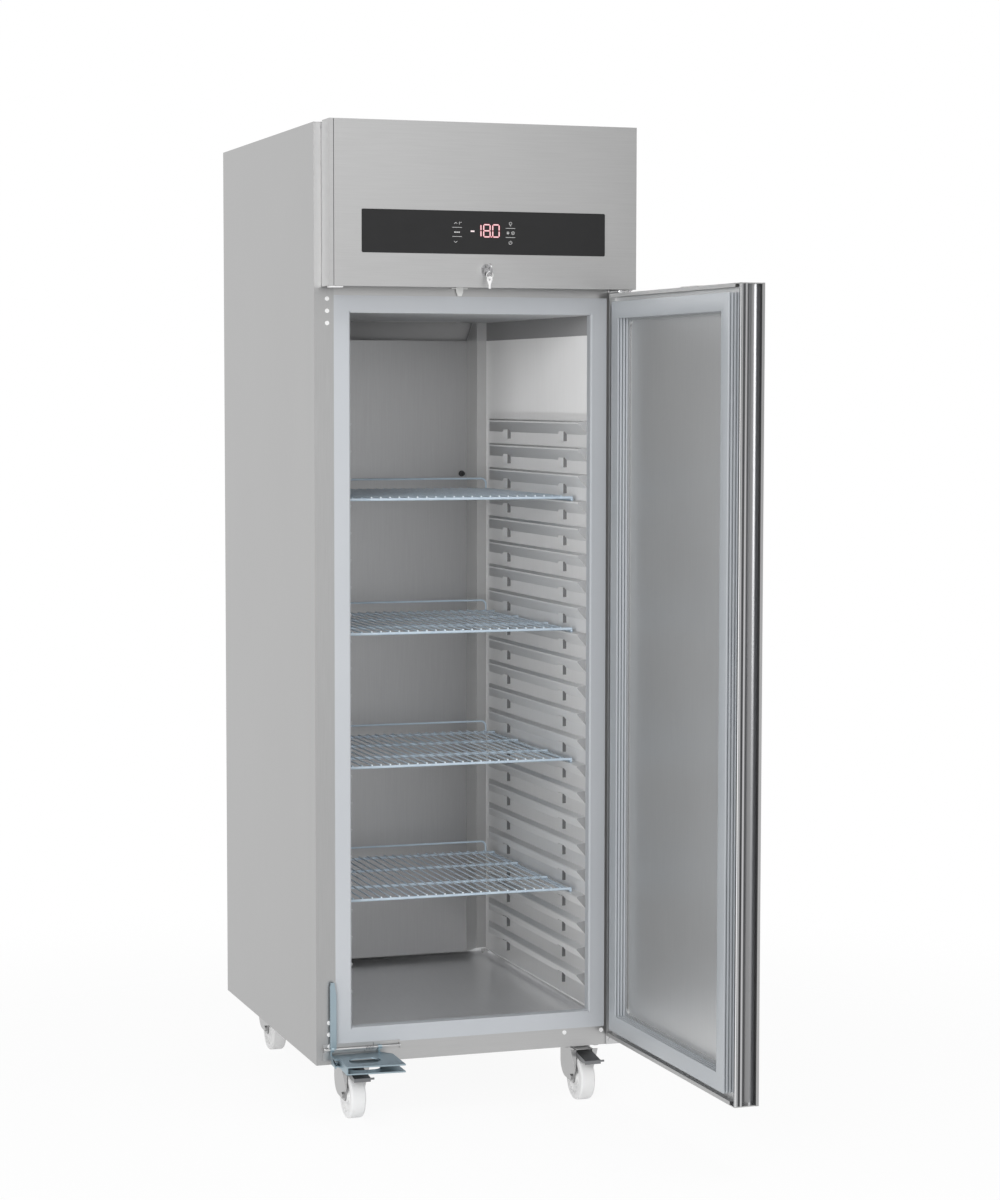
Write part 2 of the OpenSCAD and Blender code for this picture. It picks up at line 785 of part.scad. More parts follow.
// Compressor: welded pot with a seam, feet, terminal box and three stubs
module compressor() {
  dome = 46;
  foot = 14;
  seam_z = foot + comp_h * 0.55;
  placed() color("black") translate([comp_x, comp_y, cond_z]) {
    difference() {
      union() {
        translate([0, 0, foot]) rotate_extrude() {
          translate([0, dome]) square([comp_r, comp_h - 2 * dome]);
          translate([0, dome]) intersection() {
            union() {
              translate([comp_r - dome, 0]) circle(r = dome);
              translate([0, -dome]) square([comp_r - dome, dome]);
            }
            translate([0, -dome]) square([comp_r, dome]);
          }
          translate([0, comp_h - dome]) intersection() {
            union() {
              translate([comp_r - dome, 0]) circle(r = dome);
              square([comp_r - dome, dome]);
            }
            square([comp_r, dome]);
          }
        }
        translate([0, 0, seam_z]) cylinder(h = 5, r = comp_r + 4);
        for (x = [-62, 62], y = [-50, 50]) {
          translate([x, y, 6]) cylinder(h = 4, r = 14);
          translate([x, y, 0]) cylinder(h = 6, r = 9);
        }
        for (y = [-50, 50]) translate([-62, y - 12, 6]) cube([124, 24, 4]);
        for (x = [-52, 52]) translate([x - 12, -50, 6]) cube([24, 100, 4]);
        translate([-26, -comp_r - 18, 60]) cube([52, 30, 60]);
      }
      for (x = [-62, 62], y = [-50, 50]) translate([x, y, -1]) cylinder(h = 12, r = 3.5);
    }
    translate([0, 0, foot - 6]) cylinder(h = 10, r = comp_r - dome + 4);
  }
}

// Refrigerant pipes: discharge, liquid line and suction line
module refrigerant_pipes() {
  riser_x = cond_x0 + cond_w + 30;
  header_x = cond_x0 + cond_w + 8 + slip;
  discharge_z = cond_z + comp_h - 40;
  suction_z = cond_z + 140;
  row_z = cond_h / 16;
  inlet = [header_x, cond_y0 + cond_d * 0.3, cond_z + cond_h - row_z];
  outlet = [header_x, cond_y0 + cond_d * 0.7, cond_z + row_z];
  placed() color("peru") {
    bent_tube([
      [comp_x - comp_r - slip, comp_y, discharge_z], [riser_x, comp_y, discharge_z],
      [riser_x, comp_y, inlet[2]], [riser_x, inlet[1], inlet[2]], inlet
    ], liquid_r, 3 * liquid_r);
    bent_tube([
      outlet, [riser_x, outlet[1], outlet[2]], [riser_x, evap_y0 - 60, outlet[2]],
      [riser_x, evap_y0 - 60, pipe_z], [liquid_x, evap_y0 - 60, pipe_z], [liquid_x, evap_y0 + 30, pipe_z]
    ], liquid_r, 3 * liquid_r);
    bent_tube([
      [comp_x, evap_y0 + 30, pipe_z], [comp_x, evap_y0 - 100, pipe_z],
      [comp_x, evap_y0 - 100, suction_z], [comp_x, comp_y + comp_r + slip, suction_z]
    ], suction_r, 3 * suction_r);
  }
}

// Cable gland low on the machine compartment's rear sheet
gland_x = body_w - 90;
gland_z = deck_z + 30;
module cable_gland() {
  placed() color("black") difference() {
    union() {
      bar_y(body_d, body_d + gland_out, gland_x, gland_z, gland_r + 3);
      bar_y(body_d - sheet, body_d, gland_x, gland_z, gland_r);
      bar_y(body_d - sheet - 6, body_d - sheet, gland_x, gland_z, gland_r + 4);
    }
    bar_y(body_d - 10, body_d + gland_out + 1, gland_x, gland_z, gland_r - 3);
  }
}

// Door hinges: two angle brackets with pins that stand in the door's end caps
module hinge_bracket(flange_h) {
  x0 = hinge_x - hinge_plate_w / 2 - 6;
  x1 = x0 + hinge_plate_w;
  screw_z = flange_h / 2 + 2;
  linear_extrude(plate_t) {
    translate([x0, hinge_y]) square([hinge_plate_w, -hinge_y]);
    translate([hinge_x, hinge_y]) circle(r = boss_r);
    translate([x0 + boss_r, hinge_y]) circle(r = boss_r);
    translate([x0 + boss_r, hinge_y - boss_r]) square([hinge_x - x0 - boss_r, boss_r + 1]);
  }
  block([x0, -plate_t, 0], [x1, 0, flange_h]);
  for (x = [x0 + 9, x1 - 9]) bar_y(-plate_t - 2, -plate_t, x, screw_z, 4.5);
}
module door_hinges() {
  plate_gap = 3;
  placed() color(STEEL) {
    translate([0, 0, door_z1 + plate_gap]) hinge_bracket(30);
    bar_z(door_z1 - boss_h + 2, door_z1 + plate_gap, hinge_x, hinge_y, hinge_pin_r);
    bar_z(door_z1 + slip, door_z1 + plate_gap, hinge_x, hinge_y, boss_r - 1);
    translate([0, 0, door_z0 - plate_gap]) mirror([0, 0, 1]) hinge_bracket(door_rise - plate_gap);
    bar_z(door_z0 - plate_gap, door_z0 + boss_h - 2, hinge_x, hinge_y, hinge_pin_r);
    bar_z(door_z0 - plate_gap, door_z0 - slip, hinge_x, hinge_y, boss_r - 1);
  }
}

// Fascia hinges: ears on the flanges with pins in the fascia's side walls
module fascia_ear() {
  x0 = fascia_x0 + sheet + slip;
  bar_x(x0, x0 + ear_t, ear_y, ear_z, ear_r);
  block([x0, ear_y, ear_z - ear_r], [x0 + ear_t, 0, ear_z + ear_r - 2.5]);
  block([x0, -ear_t, ear_z - 3 * ear_r], [x0 + 18, 0, ear_z + ear_r - 2.5]);
  bar_x(fascia_x0, x0, ear_y, ear_z, ear_pin_r);
}
module fascia_hinges() {
  placed() color(STEEL) {
    fascia_ear();
    translate([fascia_x0 + fascia_x1, 0, 0]) mirror([1, 0, 0]) fascia_ear();
  }
}

// Door switch: housing behind the fascia and a white rocker below it
rocker_pin_r = 1.5;
rocker_y = -7;
rocker_w = 15;
module switch_housing() {
  placed() color("white") difference() {
    block([rocker_x - 24, -16, fascia_z0 + 9], [rocker_x + 24, 0, fascia_z0 + 52]);
    block([rocker_x - rocker_w / 2 - slip, -12, fascia_z0 + 8],
          [rocker_x + rocker_w / 2 + slip, -2, fascia_z0 + 24]);
    bar_x(rocker_x - rocker_w / 2 - 6, rocker_x + rocker_w / 2 + 6, rocker_y, fascia_z0 + 15,
          rocker_pin_r + fit);
  }
}
module switch_rocker() {
  placed() color("white") {
    sheet_xz(rocker_y - 2, rocker_y + 2) polygon([
      [rocker_x - 7, fascia_z0 + 12], [rocker_x - 7.6, fascia_z0], [rocker_x - 7, fascia_z0 - 8],
      [rocker_x - 4, fascia_z0 - 16.5], [rocker_x + 4, fascia_z0 - 16.5], [rocker_x + 7, fascia_z0 - 8],
      [rocker_x + 7.6, fascia_z0], [rocker_x + 7, fascia_z0 + 12]
    ]);
    block([rocker_x - 17.5, rocker_y - 2, fascia_z0 - 1.5], [rocker_x + 17.5, rocker_y + 2, fascia_z0 + 0.5]);
    bar_x(rocker_x - rocker_w / 2 - 5, rocker_x + rocker_w / 2 + 5, rocker_y, fascia_z0 + 15, rocker_pin_r);
    bar_x(rocker_x - rocker_w / 2, rocker_x + rocker_w / 2, rocker_y, fascia_z0 + 15, 4);
  }
}

// Pedal bracket: plate on the base flange, two ears and the pivot rod
module pedal_bracket() {
  placed() color(STEEL) {
    difference() {
      block([bracket_x0, -bracket_t, castor_h + 10], [bracket_x1, 0, castor_h + 44]);
      for (p = plug_points) bar_y(-bracket_t - 1, 1, p[0], p[1], plug_r + 1);
    }
    for (x = [bracket_x0, bracket_x1 - ear_w]) {
      bar_x(x, x + ear_w, pivot_y, pivot_z, knuckle_r);
      block([x, pivot_y, pivot_z - knuckle_r], [x + ear_w, 0, pivot_z + knuckle_r]);
    }
    bar_x(bracket_x0, bracket_x1, pivot_y, pivot_z, pivot_r);
    for (x = [60, 80, 128, 148]) bar_y(-bracket_t - 2, -bracket_t, x, castor_h + 16, 3.5);
  }
}

// Return spring: one coiled wire round the pivot rod, with a straight leg at each end
spring_steps = 10;
spring_leg = 9;
spring_sides = 6;
function coil_point(i) = [
  spring_x0 + spring_pitch * i / spring_steps,
  pivot_y + spring_r * cos(360 * i / spring_steps),
  pivot_z + spring_r * sin(360 * i / spring_steps)
];
spring_path = concat(
  [coil_point(0) + [0, 0, -spring_leg]],
  [for (i = [0 : spring_turns * spring_steps]) coil_point(i)],
  [coil_point(0) + [spring_pitch * spring_turns, 0, spring_leg]]
);
// Least gap of the wire to itself, over points at least half a turn apart
spring_gap = min([
  for (i = [0 : len(spring_path) - 1])
    for (j = [i + spring_steps / 2 : len(spring_path) - 1])
      norm(spring_path[i] - spring_path[j]) - 2 * spring_wire
]);
echo(spring_gap = spring_gap);
// Unit vector along the path at point i, and the ring of vertices round that point
function heading(path, i) =
  let (d = path[min(i + 1, len(path) - 1)] - path[max(i - 1, 0)]) d / norm(d);
function ring_at(path, i, r, sides) =
  let (t = heading(path, i), u = [1, 0, 0] - t * t[0], a = u / norm(u), b = cross(t, a))
  [for (k = [0 : sides - 1]) path[i] + r * (a * cos(360 * k / sides) + b * sin(360 * k / sides))];
module swept_wire(path, r, sides) {
  last = len(path) - 1;
  points = [for (i = [0 : last]) each ring_at(path, i, r, sides)];
  walls = [for (i = [0 : last - 1], k = [0 : sides - 1]) let (
    p = i * sides + k,
    q = i * sides + (k + 1) % sides
  ) each [[p, p + sides, q], [q, p + sides, q + sides]]];
  end = last * sides;
  caps = [for (k = [1 : sides - 2]) each [[0, k, k + 1], [end, end + k + 1, end + k]]];
  polyhedron(points, concat(walls, caps));
}
module pedal_spring() {
  placed() color("gray") swept_wire(spring_path, spring_wire, spring_sides);
}

// Pedal: two tread plates with a long cut-out, folded at the left, and the lifter
module tread_outline() {
  slot_x = 35;
  slot_right = 61;
  slot_len = tread_w - slot_x - slot_right;
  slot_r = 19;
  front_bar = 20;
  slot_y = front_bar + slot_r - tread_d;
  difference() {
    polygon([
      [0, -tread_back], [0, -tread_d], [tread_w, -tread_d - tread_slant],
      [tread_w - 4, -24], [tread_w - 26, -tread_back]
    ]);
    translate([slot_x, slot_y]) circle(r = slot_r);
    translate([slot_x + slot_len, slot_y]) circle(r = slot_r);
    translate([slot_x, slot_y - slot_r]) square([slot_len, 2 * slot_r]);
  }
}
module pedal() {
  placed() color("lightslategray") difference() {
    union() {
      translate([tread_x0, pivot_y, pivot_z]) rotate([tread_tilt, 0, 0]) {
        for (z = [tread_rise, plate_low])
          translate([0, 0, z - pedal_t]) linear_extrude(pedal_t) tread_outline();
        block([0, -tread_d, plate_low - pedal_t], [pedal_t, -tread_back, tread_rise]);
      }
      for (x = [lifter_x0, right_knuckle_x]) bar_x(x, x + knuckle_w, pivot_y, pivot_z, knuckle_r);
      sheet_yz(right_knuckle_x, right_knuckle_x + pedal_t) translate([pivot_y, pivot_z]) polygon([
        [-4.4, 1], [4.4, 1], [2, tread_rise - 1], [-tread_back - 14, tread_rise - 3],
        [-tread_back - 14, tread_rise - 1.5], [-4.4, tread_rise + 2.5]
      ]);
      sheet_xz(pivot_y - lifter_t / 2, pivot_y + lifter_t / 2) polygon([
        [lifter_x0, pivot_z], [lifter_x0, pivot_z + lifter_h - 10], [lifter_x0 + 2, pivot_z + lifter_h],
        [lifter_x0 + lifter_w - 4, pivot_z + lifter_h], [lifter_x0 + lifter_w, pivot_z + lifter_h - 30],
        [lifter_x0 + lifter_w, pivot_z]
      ]);
      sheet_yz(lifter_x0, lifter_x0 + pedal_t) translate([pivot_y, pivot_z]) polygon([
        [3, 30], [-3, 30], [-4.4, 0], [-4.4, -9], [-14, tread_rise - 2], [-40, plate_low - 2],
        [-40, plate_low - 6], [-10, plate_low], [3, tread_rise], [4.4, 0]
      ]);
      for (z = [tread_rise, plate_low])
        translate([lifter_x0, pivot_y, pivot_z]) rotate([tread_tilt, 0, 0])
          block([0, -36, z - pedal_t], [tread_x0 - lifter_x0 + pedal_t, -tread_back - 6, z]);
    }
    bar_x(0, bracket_x1, pivot_y, pivot_z, pivot_r + fit);
  }
}

// Castor plates: top plates with screws, ball races and king pins
module at_castors() {
  for (x = [castor_side, right_x], y = [castor_front, rear_y]) translate([x, y, 0]) children();
}
module castor_plates() {
  placed() color(STEEL) at_castors() {
    difference() {
      translate([-castor_plate_w / 2, -castor_plate_d / 2, castor_h - castor_plate_t])
        linear_extrude(castor_plate_t) round_rect(castor_plate_w, castor_plate_d, 8);
      for (x = [-36, 36], y = [-30, 30]) bar_z(castor_h - 9, castor_h + 1, x, y, 4.2);
    }
    bar_z(castor_h - castor_plate_t - race_h, castor_h - castor_plate_t, 0, 0, 28);
    bar_z(king_end, castor_h - castor_plate_t, 0, 0, king_r);
    bar_z(king_end, crown_z - fork_t - slip, 0, 0, nut_r);
    for (x = [-36, 36], y = [-30, 30]) {
      bar_z(castor_h - castor_plate_t, castor_h, x, y, 4.2);
      bar_z(castor_h - castor_plate_t - 4, castor_h - castor_plate_t, x, y, 7);
    }
  }
}

// Castor fork: pressed crown, two deep cheeks with a rounded rear corner and a pointed foot
// under the axle, front flanges, the axle and its nuts, and the brake's pins on a braked one
module fork_side() {
  translate([fork_rear - fork_rear_r, fork_low + fork_rear_r]) circle(r = fork_rear_r);
  polygon([
    [fork_front, crown_z], [fork_rear, crown_z], [fork_rear, fork_low + fork_rear_r],
    [fork_rear - fork_rear_r, fork_low], [-castor_trail - 10, fork_low - 3], [fork_front, axle_z + 16]
  ]);
}
module fork_cheek() {
  sheet_yz(fork_gap, fork_gap + fork_t) fork_side();
  sheet_xz(fork_front, fork_front + fork_t) polygon([
    [fork_gap, crown_z], [fork_gap + 13, crown_z], [fork_gap + fork_t, axle_z + 20], [fork_gap, axle_z + 20]
  ]);
}
module castor_fork(braked) {
  crown_r = 33;
  color(STEEL) {
    difference() {
      union() {
        bar_z(crown_z - fork_t, crown_z, 0, 0, crown_r);
        block([-fork_gap - fork_t, -castor_trail - 6, crown_z - fork_t], [fork_gap + fork_t, 0, crown_z]);
        fork_cheek();
        mirror([1, 0, 0]) fork_cheek();
      }
      bar_z(crown_z - fork_t - 1, crown_z + 1, 0, 0, king_r + fit);
    }
    bar_x(-fork_gap, fork_gap, -castor_trail, axle_z, axle_r);
    if (braked) for (x = [-fork_gap, fork_gap])
      bar_x(x - fork_t, x + fork_t, brake_pivot_y, brake_pivot_z, brake_pin_r);
    for (s = [-1, 1]) translate([s * (fork_gap + fork_t + 2), -castor_trail, axle_z])
      rotate([0, 90, 0]) cylinder(h = 4, r = 7, center = true, $fn = 6);
  }
}
module fork_front_left() {
  placed() translate([castor_side, castor_front, 0]) castor_fork(true);
}
module fork_front_right() {
  placed() translate([right_x, castor_front, 0]) castor_fork(true);
}
module fork_rear_left() {
  placed() translate([castor_side, rear_y, 0]) castor_fork(false);
}
module fork_rear_right() {
  placed() translate([right_x, rear_y, 0]) castor_fork(false);
}

// Castor wheel: nylon wheel with rounded tread, web and hub
module castor_wheel() {
  r = wheel_d / 2;
  half = wheel_w / 2;
  edge = 5;
  translate([0, -castor_trail, axle_z]) color("white") rotate([0, 90, 0]) rotate_extrude($fn = 72) {
    difference() {
      union() {
        translate([axle_r + fit, -half + edge]) square([r - axle_r - fit, wheel_w - 2 * edge]);
        translate([r - 14, -half]) square([14 - edge, wheel_w]);
        translate([axle_r + fit, -half - 1]) square([11, wheel_w + 2]);
        for (z = [-half + edge, half - edge]) translate([r - edge, z]) circle(r = edge);
      }
      for (s = [-1, 1]) translate([26.5, s * half]) circle(r = 9);
    }
  }
}
module wheel_front_left() {
  placed() translate([castor_side, castor_front, 0]) castor_wheel();
}
module wheel_front_right() {
  placed() translate([right_x, castor_front, 0]) castor_wheel();
}
module wheel_rear_left() {
  placed() translate([castor_side, rear_y, 0]) castor_wheel();
}
module wheel_rear_right() {
  placed() translate([right_x, rear_y, 0]) castor_wheel();
}

// Brake lever: sloping tread with two cheeks, hung on pins inside the fork's cheeks
module brake_lever() {
  half = fork_gap - slip;
  rear_y = brake_pivot_y + 5;
  front_y = -brake_reach;
  front_z = crown_z - brake_drop;
  rear_z = crown_z - fork_t;
  color(DARK) difference() {
    union() {
      sheet_yz(-half, half) polygon([
        [rear_y, rear_z], [rear_y, rear_z - brake_t], [front_y, front_z - brake_t], [front_y, front_z]
      ]);
      for (x = [-half, half - brake_t]) sheet_yz(x, x + brake_t) union() {
        polygon([[rear_y, rear_z], [rear_y, brake_pivot_z - 3], [front_y + 30, front_z - 7],
                 [front_y, front_z - 6], [front_y, front_z]]);
      }
      sheet_xz(front_y, front_y + brake_t) polygon([
        [-half, front_z], [-half, front_z - 8], [half, front_z - 8], [half, front_z - 4],
        [half + 8, front_z - 4], [half + 8, front_z]
      ]);
    }
    bar_x(-half - 1, half + 1, brake_pivot_y, brake_pivot_z, brake_pin_r + fit);
  }
}
module brake_left() {
  placed() translate([castor_side, castor_front, 0]) brake_lever();
}
module brake_right() {
  placed() translate([right_x, castor_front, 0]) brake_lever();
}

// Door skin: outer sheet, hinge-side wall with a hemmed rim, short free-side return
module door_skin() {
  h = door_z1 - door_z0;
  on_door() color(SKIN) translate([0, 0, door_z0]) linear_extrude(h) polygon([
    [door_x0, -front_out], [door_x1, -front_out], [door_x1, -rim_gap], [door_x1 - rim_w, -rim_gap],
    [door_x1 - rim_w, panel_y - sheet], [door_x1 - rim_w + sheet, panel_y - sheet],
    [door_x1 - rim_w + sheet, -rim_gap - sheet], [door_x1 - sheet, -rim_gap - sheet],
    [door_x1 - sheet, -front_out + sheet], [door_x0 + sheet, -front_out + sheet],
    [door_x0 + sheet, -front_out + 6], [door_x0, -front_out + 6]
  ]);
}
door_x1 = body_w;

// Door grip: extruded profile along the free edge with leg, groove and finger channel
module door_grip() {
  channel_y = -front_out + 9 + grip_w / 2;
  depth = grip_in;
  on_door() color(DARK) translate([0, 0, door_z0 + cap_t]) linear_extrude(door_z1 - door_z0 - 2 * cap_t)
    translate([door_x0, 0]) difference() {
      union() {
        translate([sheet, -front_out + sheet]) square([depth - sheet, front_out - sheet + panel_y]);
        translate([0, -front_out + 6]) square([depth, front_out - 6 + panel_y]);
        translate([0, panel_y - 1]) square([rim_w, -rim_gap - panel_y + 1]);
      }
      translate([grip_depth - grip_w / 2, channel_y]) circle(r = grip_w / 2);
      translate([-1, channel_y - grip_w / 2]) square([grip_depth - grip_w / 2 + 1, grip_w]);
      translate([-1, panel_y + 1.5]) square([3.5, 3]);
    }
}

// Inner panel: flat border under the gasket and a pressed recess
module recess_outline(grow) {
  inset = gasket_w + 6 - grow;
  translate([gasket_x0 + inset, gasket_z0 + inset])
    round_rect(gasket_x1 - gasket_x0 - 2 * inset, gasket_z1 - gasket_z0 - 2 * inset, 14 + grow);
}
module door_inner_panel() {
  x0 = door_x0 + grip_in;
  x1 = door_x1 - rim_w;
  on_door() color(STEEL) {
    difference() {
      block([x0, panel_y - sheet, door_z0 + cap_t + rim_w], [x1, panel_y, door_z1 - cap_t - rim_w]);
      sheet_xz(panel_y - 2 * sheet, panel_y + 1) recess_outline(0);
    }
    difference() {
      sheet_xz(panel_y - panel_recess - sheet, panel_y - sheet) recess_outline(sheet);
      sheet_xz(panel_y - panel_recess, panel_y) recess_outline(0);
    }
  }
}

// Door foam between skin, grip and inner panel
module door_foam() {
  x0 = door_x0 + grip_in;
  on_door() color("khaki") difference() {
    block([x0, foam_y0, door_z0 + cap_t], [door_x1 - sheet, panel_y - sheet, door_z1 - cap_t]);
    sheet_xz(panel_y - panel_recess - sheet, panel_y + 1) recess_outline(sheet);
    bar_z(door_z0, door_z0 + boss_h + 1, hinge_x, hinge_y, boss_r + 0.5);
    bar_z(door_z1 - boss_h - 1, door_z1, hinge_x, hinge_y, boss_r + 0.5);
  }
}

// Door gasket: square ring with bellows grooves round its inside and outside
module gasket_ring(inset, y0, y1) {
  difference() {
    block([gasket_x0 + inset, y0, gasket_z0 + inset], [gasket_x1 - inset, y1, gasket_z1 - inset]);
    block([gasket_x0 + gasket_w - inset, y0 - 1, gasket_z0 + gasket_w - inset],
          [gasket_x1 - gasket_w + inset, y1 + 1, gasket_z1 - gasket_w + inset]);
  }
}
module door_gasket() {
  pitch = bead_h + groove_h;
  on_door() color(FRAME) {
    gasket_ring(bellows, panel_y, -gasket_gap - 0.5);
    for (i = [0 : groove_count]) gasket_ring(0, panel_y + i * pitch, panel_y + i * pitch + bead_h);
  }
}

// End caps: top and bottom closures with rims and hinge bosses
module end_cap() {
  x0 = door_x0 + sheet;
  x1 = door_x1 - sheet;
  difference() {
    union() {
      block([x0, -front_out + sheet, 0], [x1, panel_y - sheet, cap_t]);
      block([x0, panel_y - sheet, 0], [door_x1 - rim_w, -rim_gap, cap_t]);
      block([door_x0 + grip_in, -rim_gap - 4, 0], [x1 - rim_w, -rim_gap, cap_t + rim_w]);
      block([door_x0 + grip_in, panel_y, cap_t], [x1 - rim_w, -rim_gap, cap_t + rim_w]);
      bar_z(0, boss_h, hinge_x, hinge_y, boss_r);
    }
    bar_z(-1, boss_h - 1.5, hinge_x, hinge_y, hinge_pin_r + fit);
  }
}
module door_end_caps() {
  on_door() color(SKIN) {
    translate([0, 0, door_z0]) end_cap();
    translate([0, 0, door_z1]) mirror([0, 0, 1]) end_cap();
  }
}

// Door catch: two pads on the top cap that hold the lock's tongue
module door_catch() {
  on_door() color("white") for (x = [lock_x - 82, lock_x - 35])
    translate([x, pad_y0, door_z1]) linear_extrude(pad_h) round_rect(pad_w, pad_d, 3);
}

// Fascia panel: folded tray with openings for the glass and the lock
module fascia_panel() {
  t = sheet;
  placed() color(SKIN) difference() {
    union() {
      block([fascia_x0, -front_out, fascia_z0], [fascia_x1, -front_out + t, fascia_z1]);
      for (x = [fascia_x0, fascia_x1 - t]) {
        block([x, -front_out, fascia_z0], [x + t, -flange_gap, ear_z - ear_r]);
        block([x, -front_out, fascia_z0], [x + t, ear_y, fascia_z1]);
        bar_x(x, x + t, ear_y, ear_z, ear_r);
      }
      block([fascia_x0, -front_out, fascia_z0], [fascia_x1, -front_out + lip, fascia_z0 + t]);
      block([fascia_x0, -front_out, fascia_z1 - t], [fascia_x1, ear_y - 1, fascia_z1]);
    }
    translate([glass_x0 - slip, 0, glass_z0 - slip]) sheet_xz(-front_out - 1, -front_out + 2 * t)
      round_rect(glass_w + 2 * slip, glass_h + 2 * slip, glass_r + slip);
    bar_y(-front_out - 1, -front_out + 2 * t, lock_x, lock_z, lock_r);
    bar_x(fascia_x0 - 1, fascia_x1 + 1, ear_y, ear_z, ear_pin_r + fit);
  }
}

// Display glass with a housing behind it for the controls
module display_glass() {
  placed() color("black") translate([glass_x0, 0, glass_z0])
    sheet_xz(-front_out - glass_proud, -front_out - glass_proud + glass_t)
      round_rect(glass_w, glass_h, glass_r);
}
module control_box() {
  back = -front_out - glass_proud + glass_t;
  border = 14;
  box_d = 34;
  placed() color("black") {
    difference() {
      block([glass_x0 - border, -front_out + sheet, glass_z0 - border],
            [glass_x0 + glass_w + border, back + 3, glass_z0 + glass_h + border]);
      block([glass_x0 - slip, -front_out, glass_z0 - slip],
            [glass_x0 + glass_w + slip, back, glass_z0 + glass_h + slip]);
    }
    block([mid_x - 130, back + 3, glass_z0 + 6], [mid_x + 130, back + box_d, glass_z0 + glass_h - 6]);
  }
}

// Lock: flanged housing in the fascia, barrel with tongue, key and spare key
module lock_housing() {
  placed() color(STEEL) difference() {
    union() {
      bar_y(-front_out - 2, -front_out, lock_x, lock_z, 12.5);
      bar_y(-front_out, barrel_end - slip, lock_x, lock_z, lock_r);
    }
    bar_y(-front_out - 3, barrel_end, lock_x, lock_z, barrel_r + fit);
  }
}
module lock_barrel() {
  placed() color("darkgray") {
    difference() {
      bar_y(-front_out - 1.6, barrel_end, lock_x, lock_z, barrel_r);
      block([lock_x - key_t / 2, -front_out - 3, lock_z - 4.2],
            [lock_x + key_t / 2, barrel_end - 3, lock_z + 4.2]);
    }
    difference() {
      union() {
        bar_y(barrel_end, barrel_end + tongue_t, lock_x, lock_z, 8);
        block([lock_x, barrel_end, lock_z - tongue_w / 2],
              [lock_x + tongue_len, barrel_end + tongue_t, lock_z + tongue_w / 2]);
      }
      bar_y(barrel_end - 1, barrel_end + tongue_t + 1, lock_x, lock_z, 3);
    }
    bar_y(barrel_end, barrel_end + tongue_t + 3, lock_x, lock_z, 3);
  }
}
module key_shape(blade) {
  difference() {
    union() {
      circle(r = bow_r);
      translate([bow_r - 3, -4]) square([blade + 3, 8]);
    }
    circle(r = bow_hole);
  }
}
module key() {
  placed() color("gainsboro") translate([lock_x - key_t / 2, key_y, lock_z]) rotate([90, 0, 90])
    linear_extrude(key_t) key_shape(-front_out - key_y - bow_r + key_bite);
}
module spare_key() {
  hole_z = ring_z - 2 * ring_r - spare_hole + ring_wire + ring_gap;
  blade = hole_z - door_z1 - pad_h - 1.5;
  placed() color("white") translate([lock_x, key_y, 0]) {
    translate([0, 0, ring_z - ring_r]) rotate([90, 0, 0])
      rotate_extrude() translate([ring_r, 0]) circle(r = ring_wire);
    translate([0, 0, hole_z]) rotate([0, 0, 35]) translate([-key_t / 2, 0, 0]) rotate([90, 0, 90])
      linear_extrude(key_t) difference() {
        union() {
          circle(r = spare_bow_r);
          translate([-2, -blade]) square([4, blade]);
          polygon([[-spare_bow_r, -1], [spare_bow_r, -1], [2, -12], [-2, -12]]);
        }
        circle(r = spare_hole);
      }
  }
}

// Wire shelf: frame, cross bars, lengthwise wires and a raised rear stop
module wire_shelf(rail) {
  r = frame_wire / 2;
  g = grid_wire / 2;
  slope = rail_rise / (cav_x1 - panel_t - rail_x);
  seat = slope * (shelf_x1 - r - rail_x) + (r + slip) * sqrt(1 + slope * slope);
  z = cav_z0 + rail_first + (rail_count - rail) * rail_pitch + seat;
  y0 = shelf_front;
  y1 = shelf_front + shelf_d;
  cross_y = [y0 + r, y0 + 0.3 * shelf_d, y0 + 0.68 * shelf_d, y1 - r];
  first = mid_x - (grid_count - 1) * grid_pitch / 2;
  placed() color("lightsteelblue") {
    for (x = [shelf_x0 + r, shelf_x1 - r]) {
      bar_y(y0 + r, y1 - r, x, z, r);
      translate([x, y0 + r, z]) sphere(r = r);
      translate([x, y1 - r, z]) sphere(r = r);
    }
    for (y = cross_y) bar_x(shelf_x0 + 2, shelf_x1 - 2, y, z + cross_lift, r);
    for (i = [0 : grid_count - 1])
      bar_y(y0 - 1, y1, first + i * grid_pitch, z + cross_lift + grid_lift, g);
    for (s = [-1, 1], i = [1, 2])
      bar_y(y0 + 2 * r - 1, y1, mid_x + s * (grid_count / 2 - 0.5 + i) * grid_pitch,
            z + cross_lift + grid_lift - 1, g);
    shelf_stop(z + cross_lift, y1 - r);
  }
}
module shelf_stop(z, y) {
  r = grid_wire / 2 + 0.6;
  x0 = shelf_x0 + stop_in;
  x1 = shelf_x1 - stop_in;
  top = z + stop_h;
  for (x = [x0, x1]) bar_z(z, top - stop_bend, x, y, r);
  bar_x(x0 + stop_bend, x1 - stop_bend, y, top, r);
  translate([x1 - stop_bend, y, top - stop_bend]) stop_corner(r);
  translate([x0 + stop_bend, y, top - stop_bend]) mirror([1, 0, 0]) stop_corner(r);
}
module stop_corner(r) {
  rotate([90, 0, 0]) rotate_extrude(angle = 90) translate([stop_bend, 0]) circle(r = r);
}
module shelf_1() {
  wire_shelf(shelf_rail[0]);
}
module shelf_2() {
  wire_shelf(shelf_rail[1]);
}
module shelf_3() {
  wire_shelf(shelf_rail[2]);
}
module shelf_4() {
  wire_shelf(shelf_rail[3]);
}

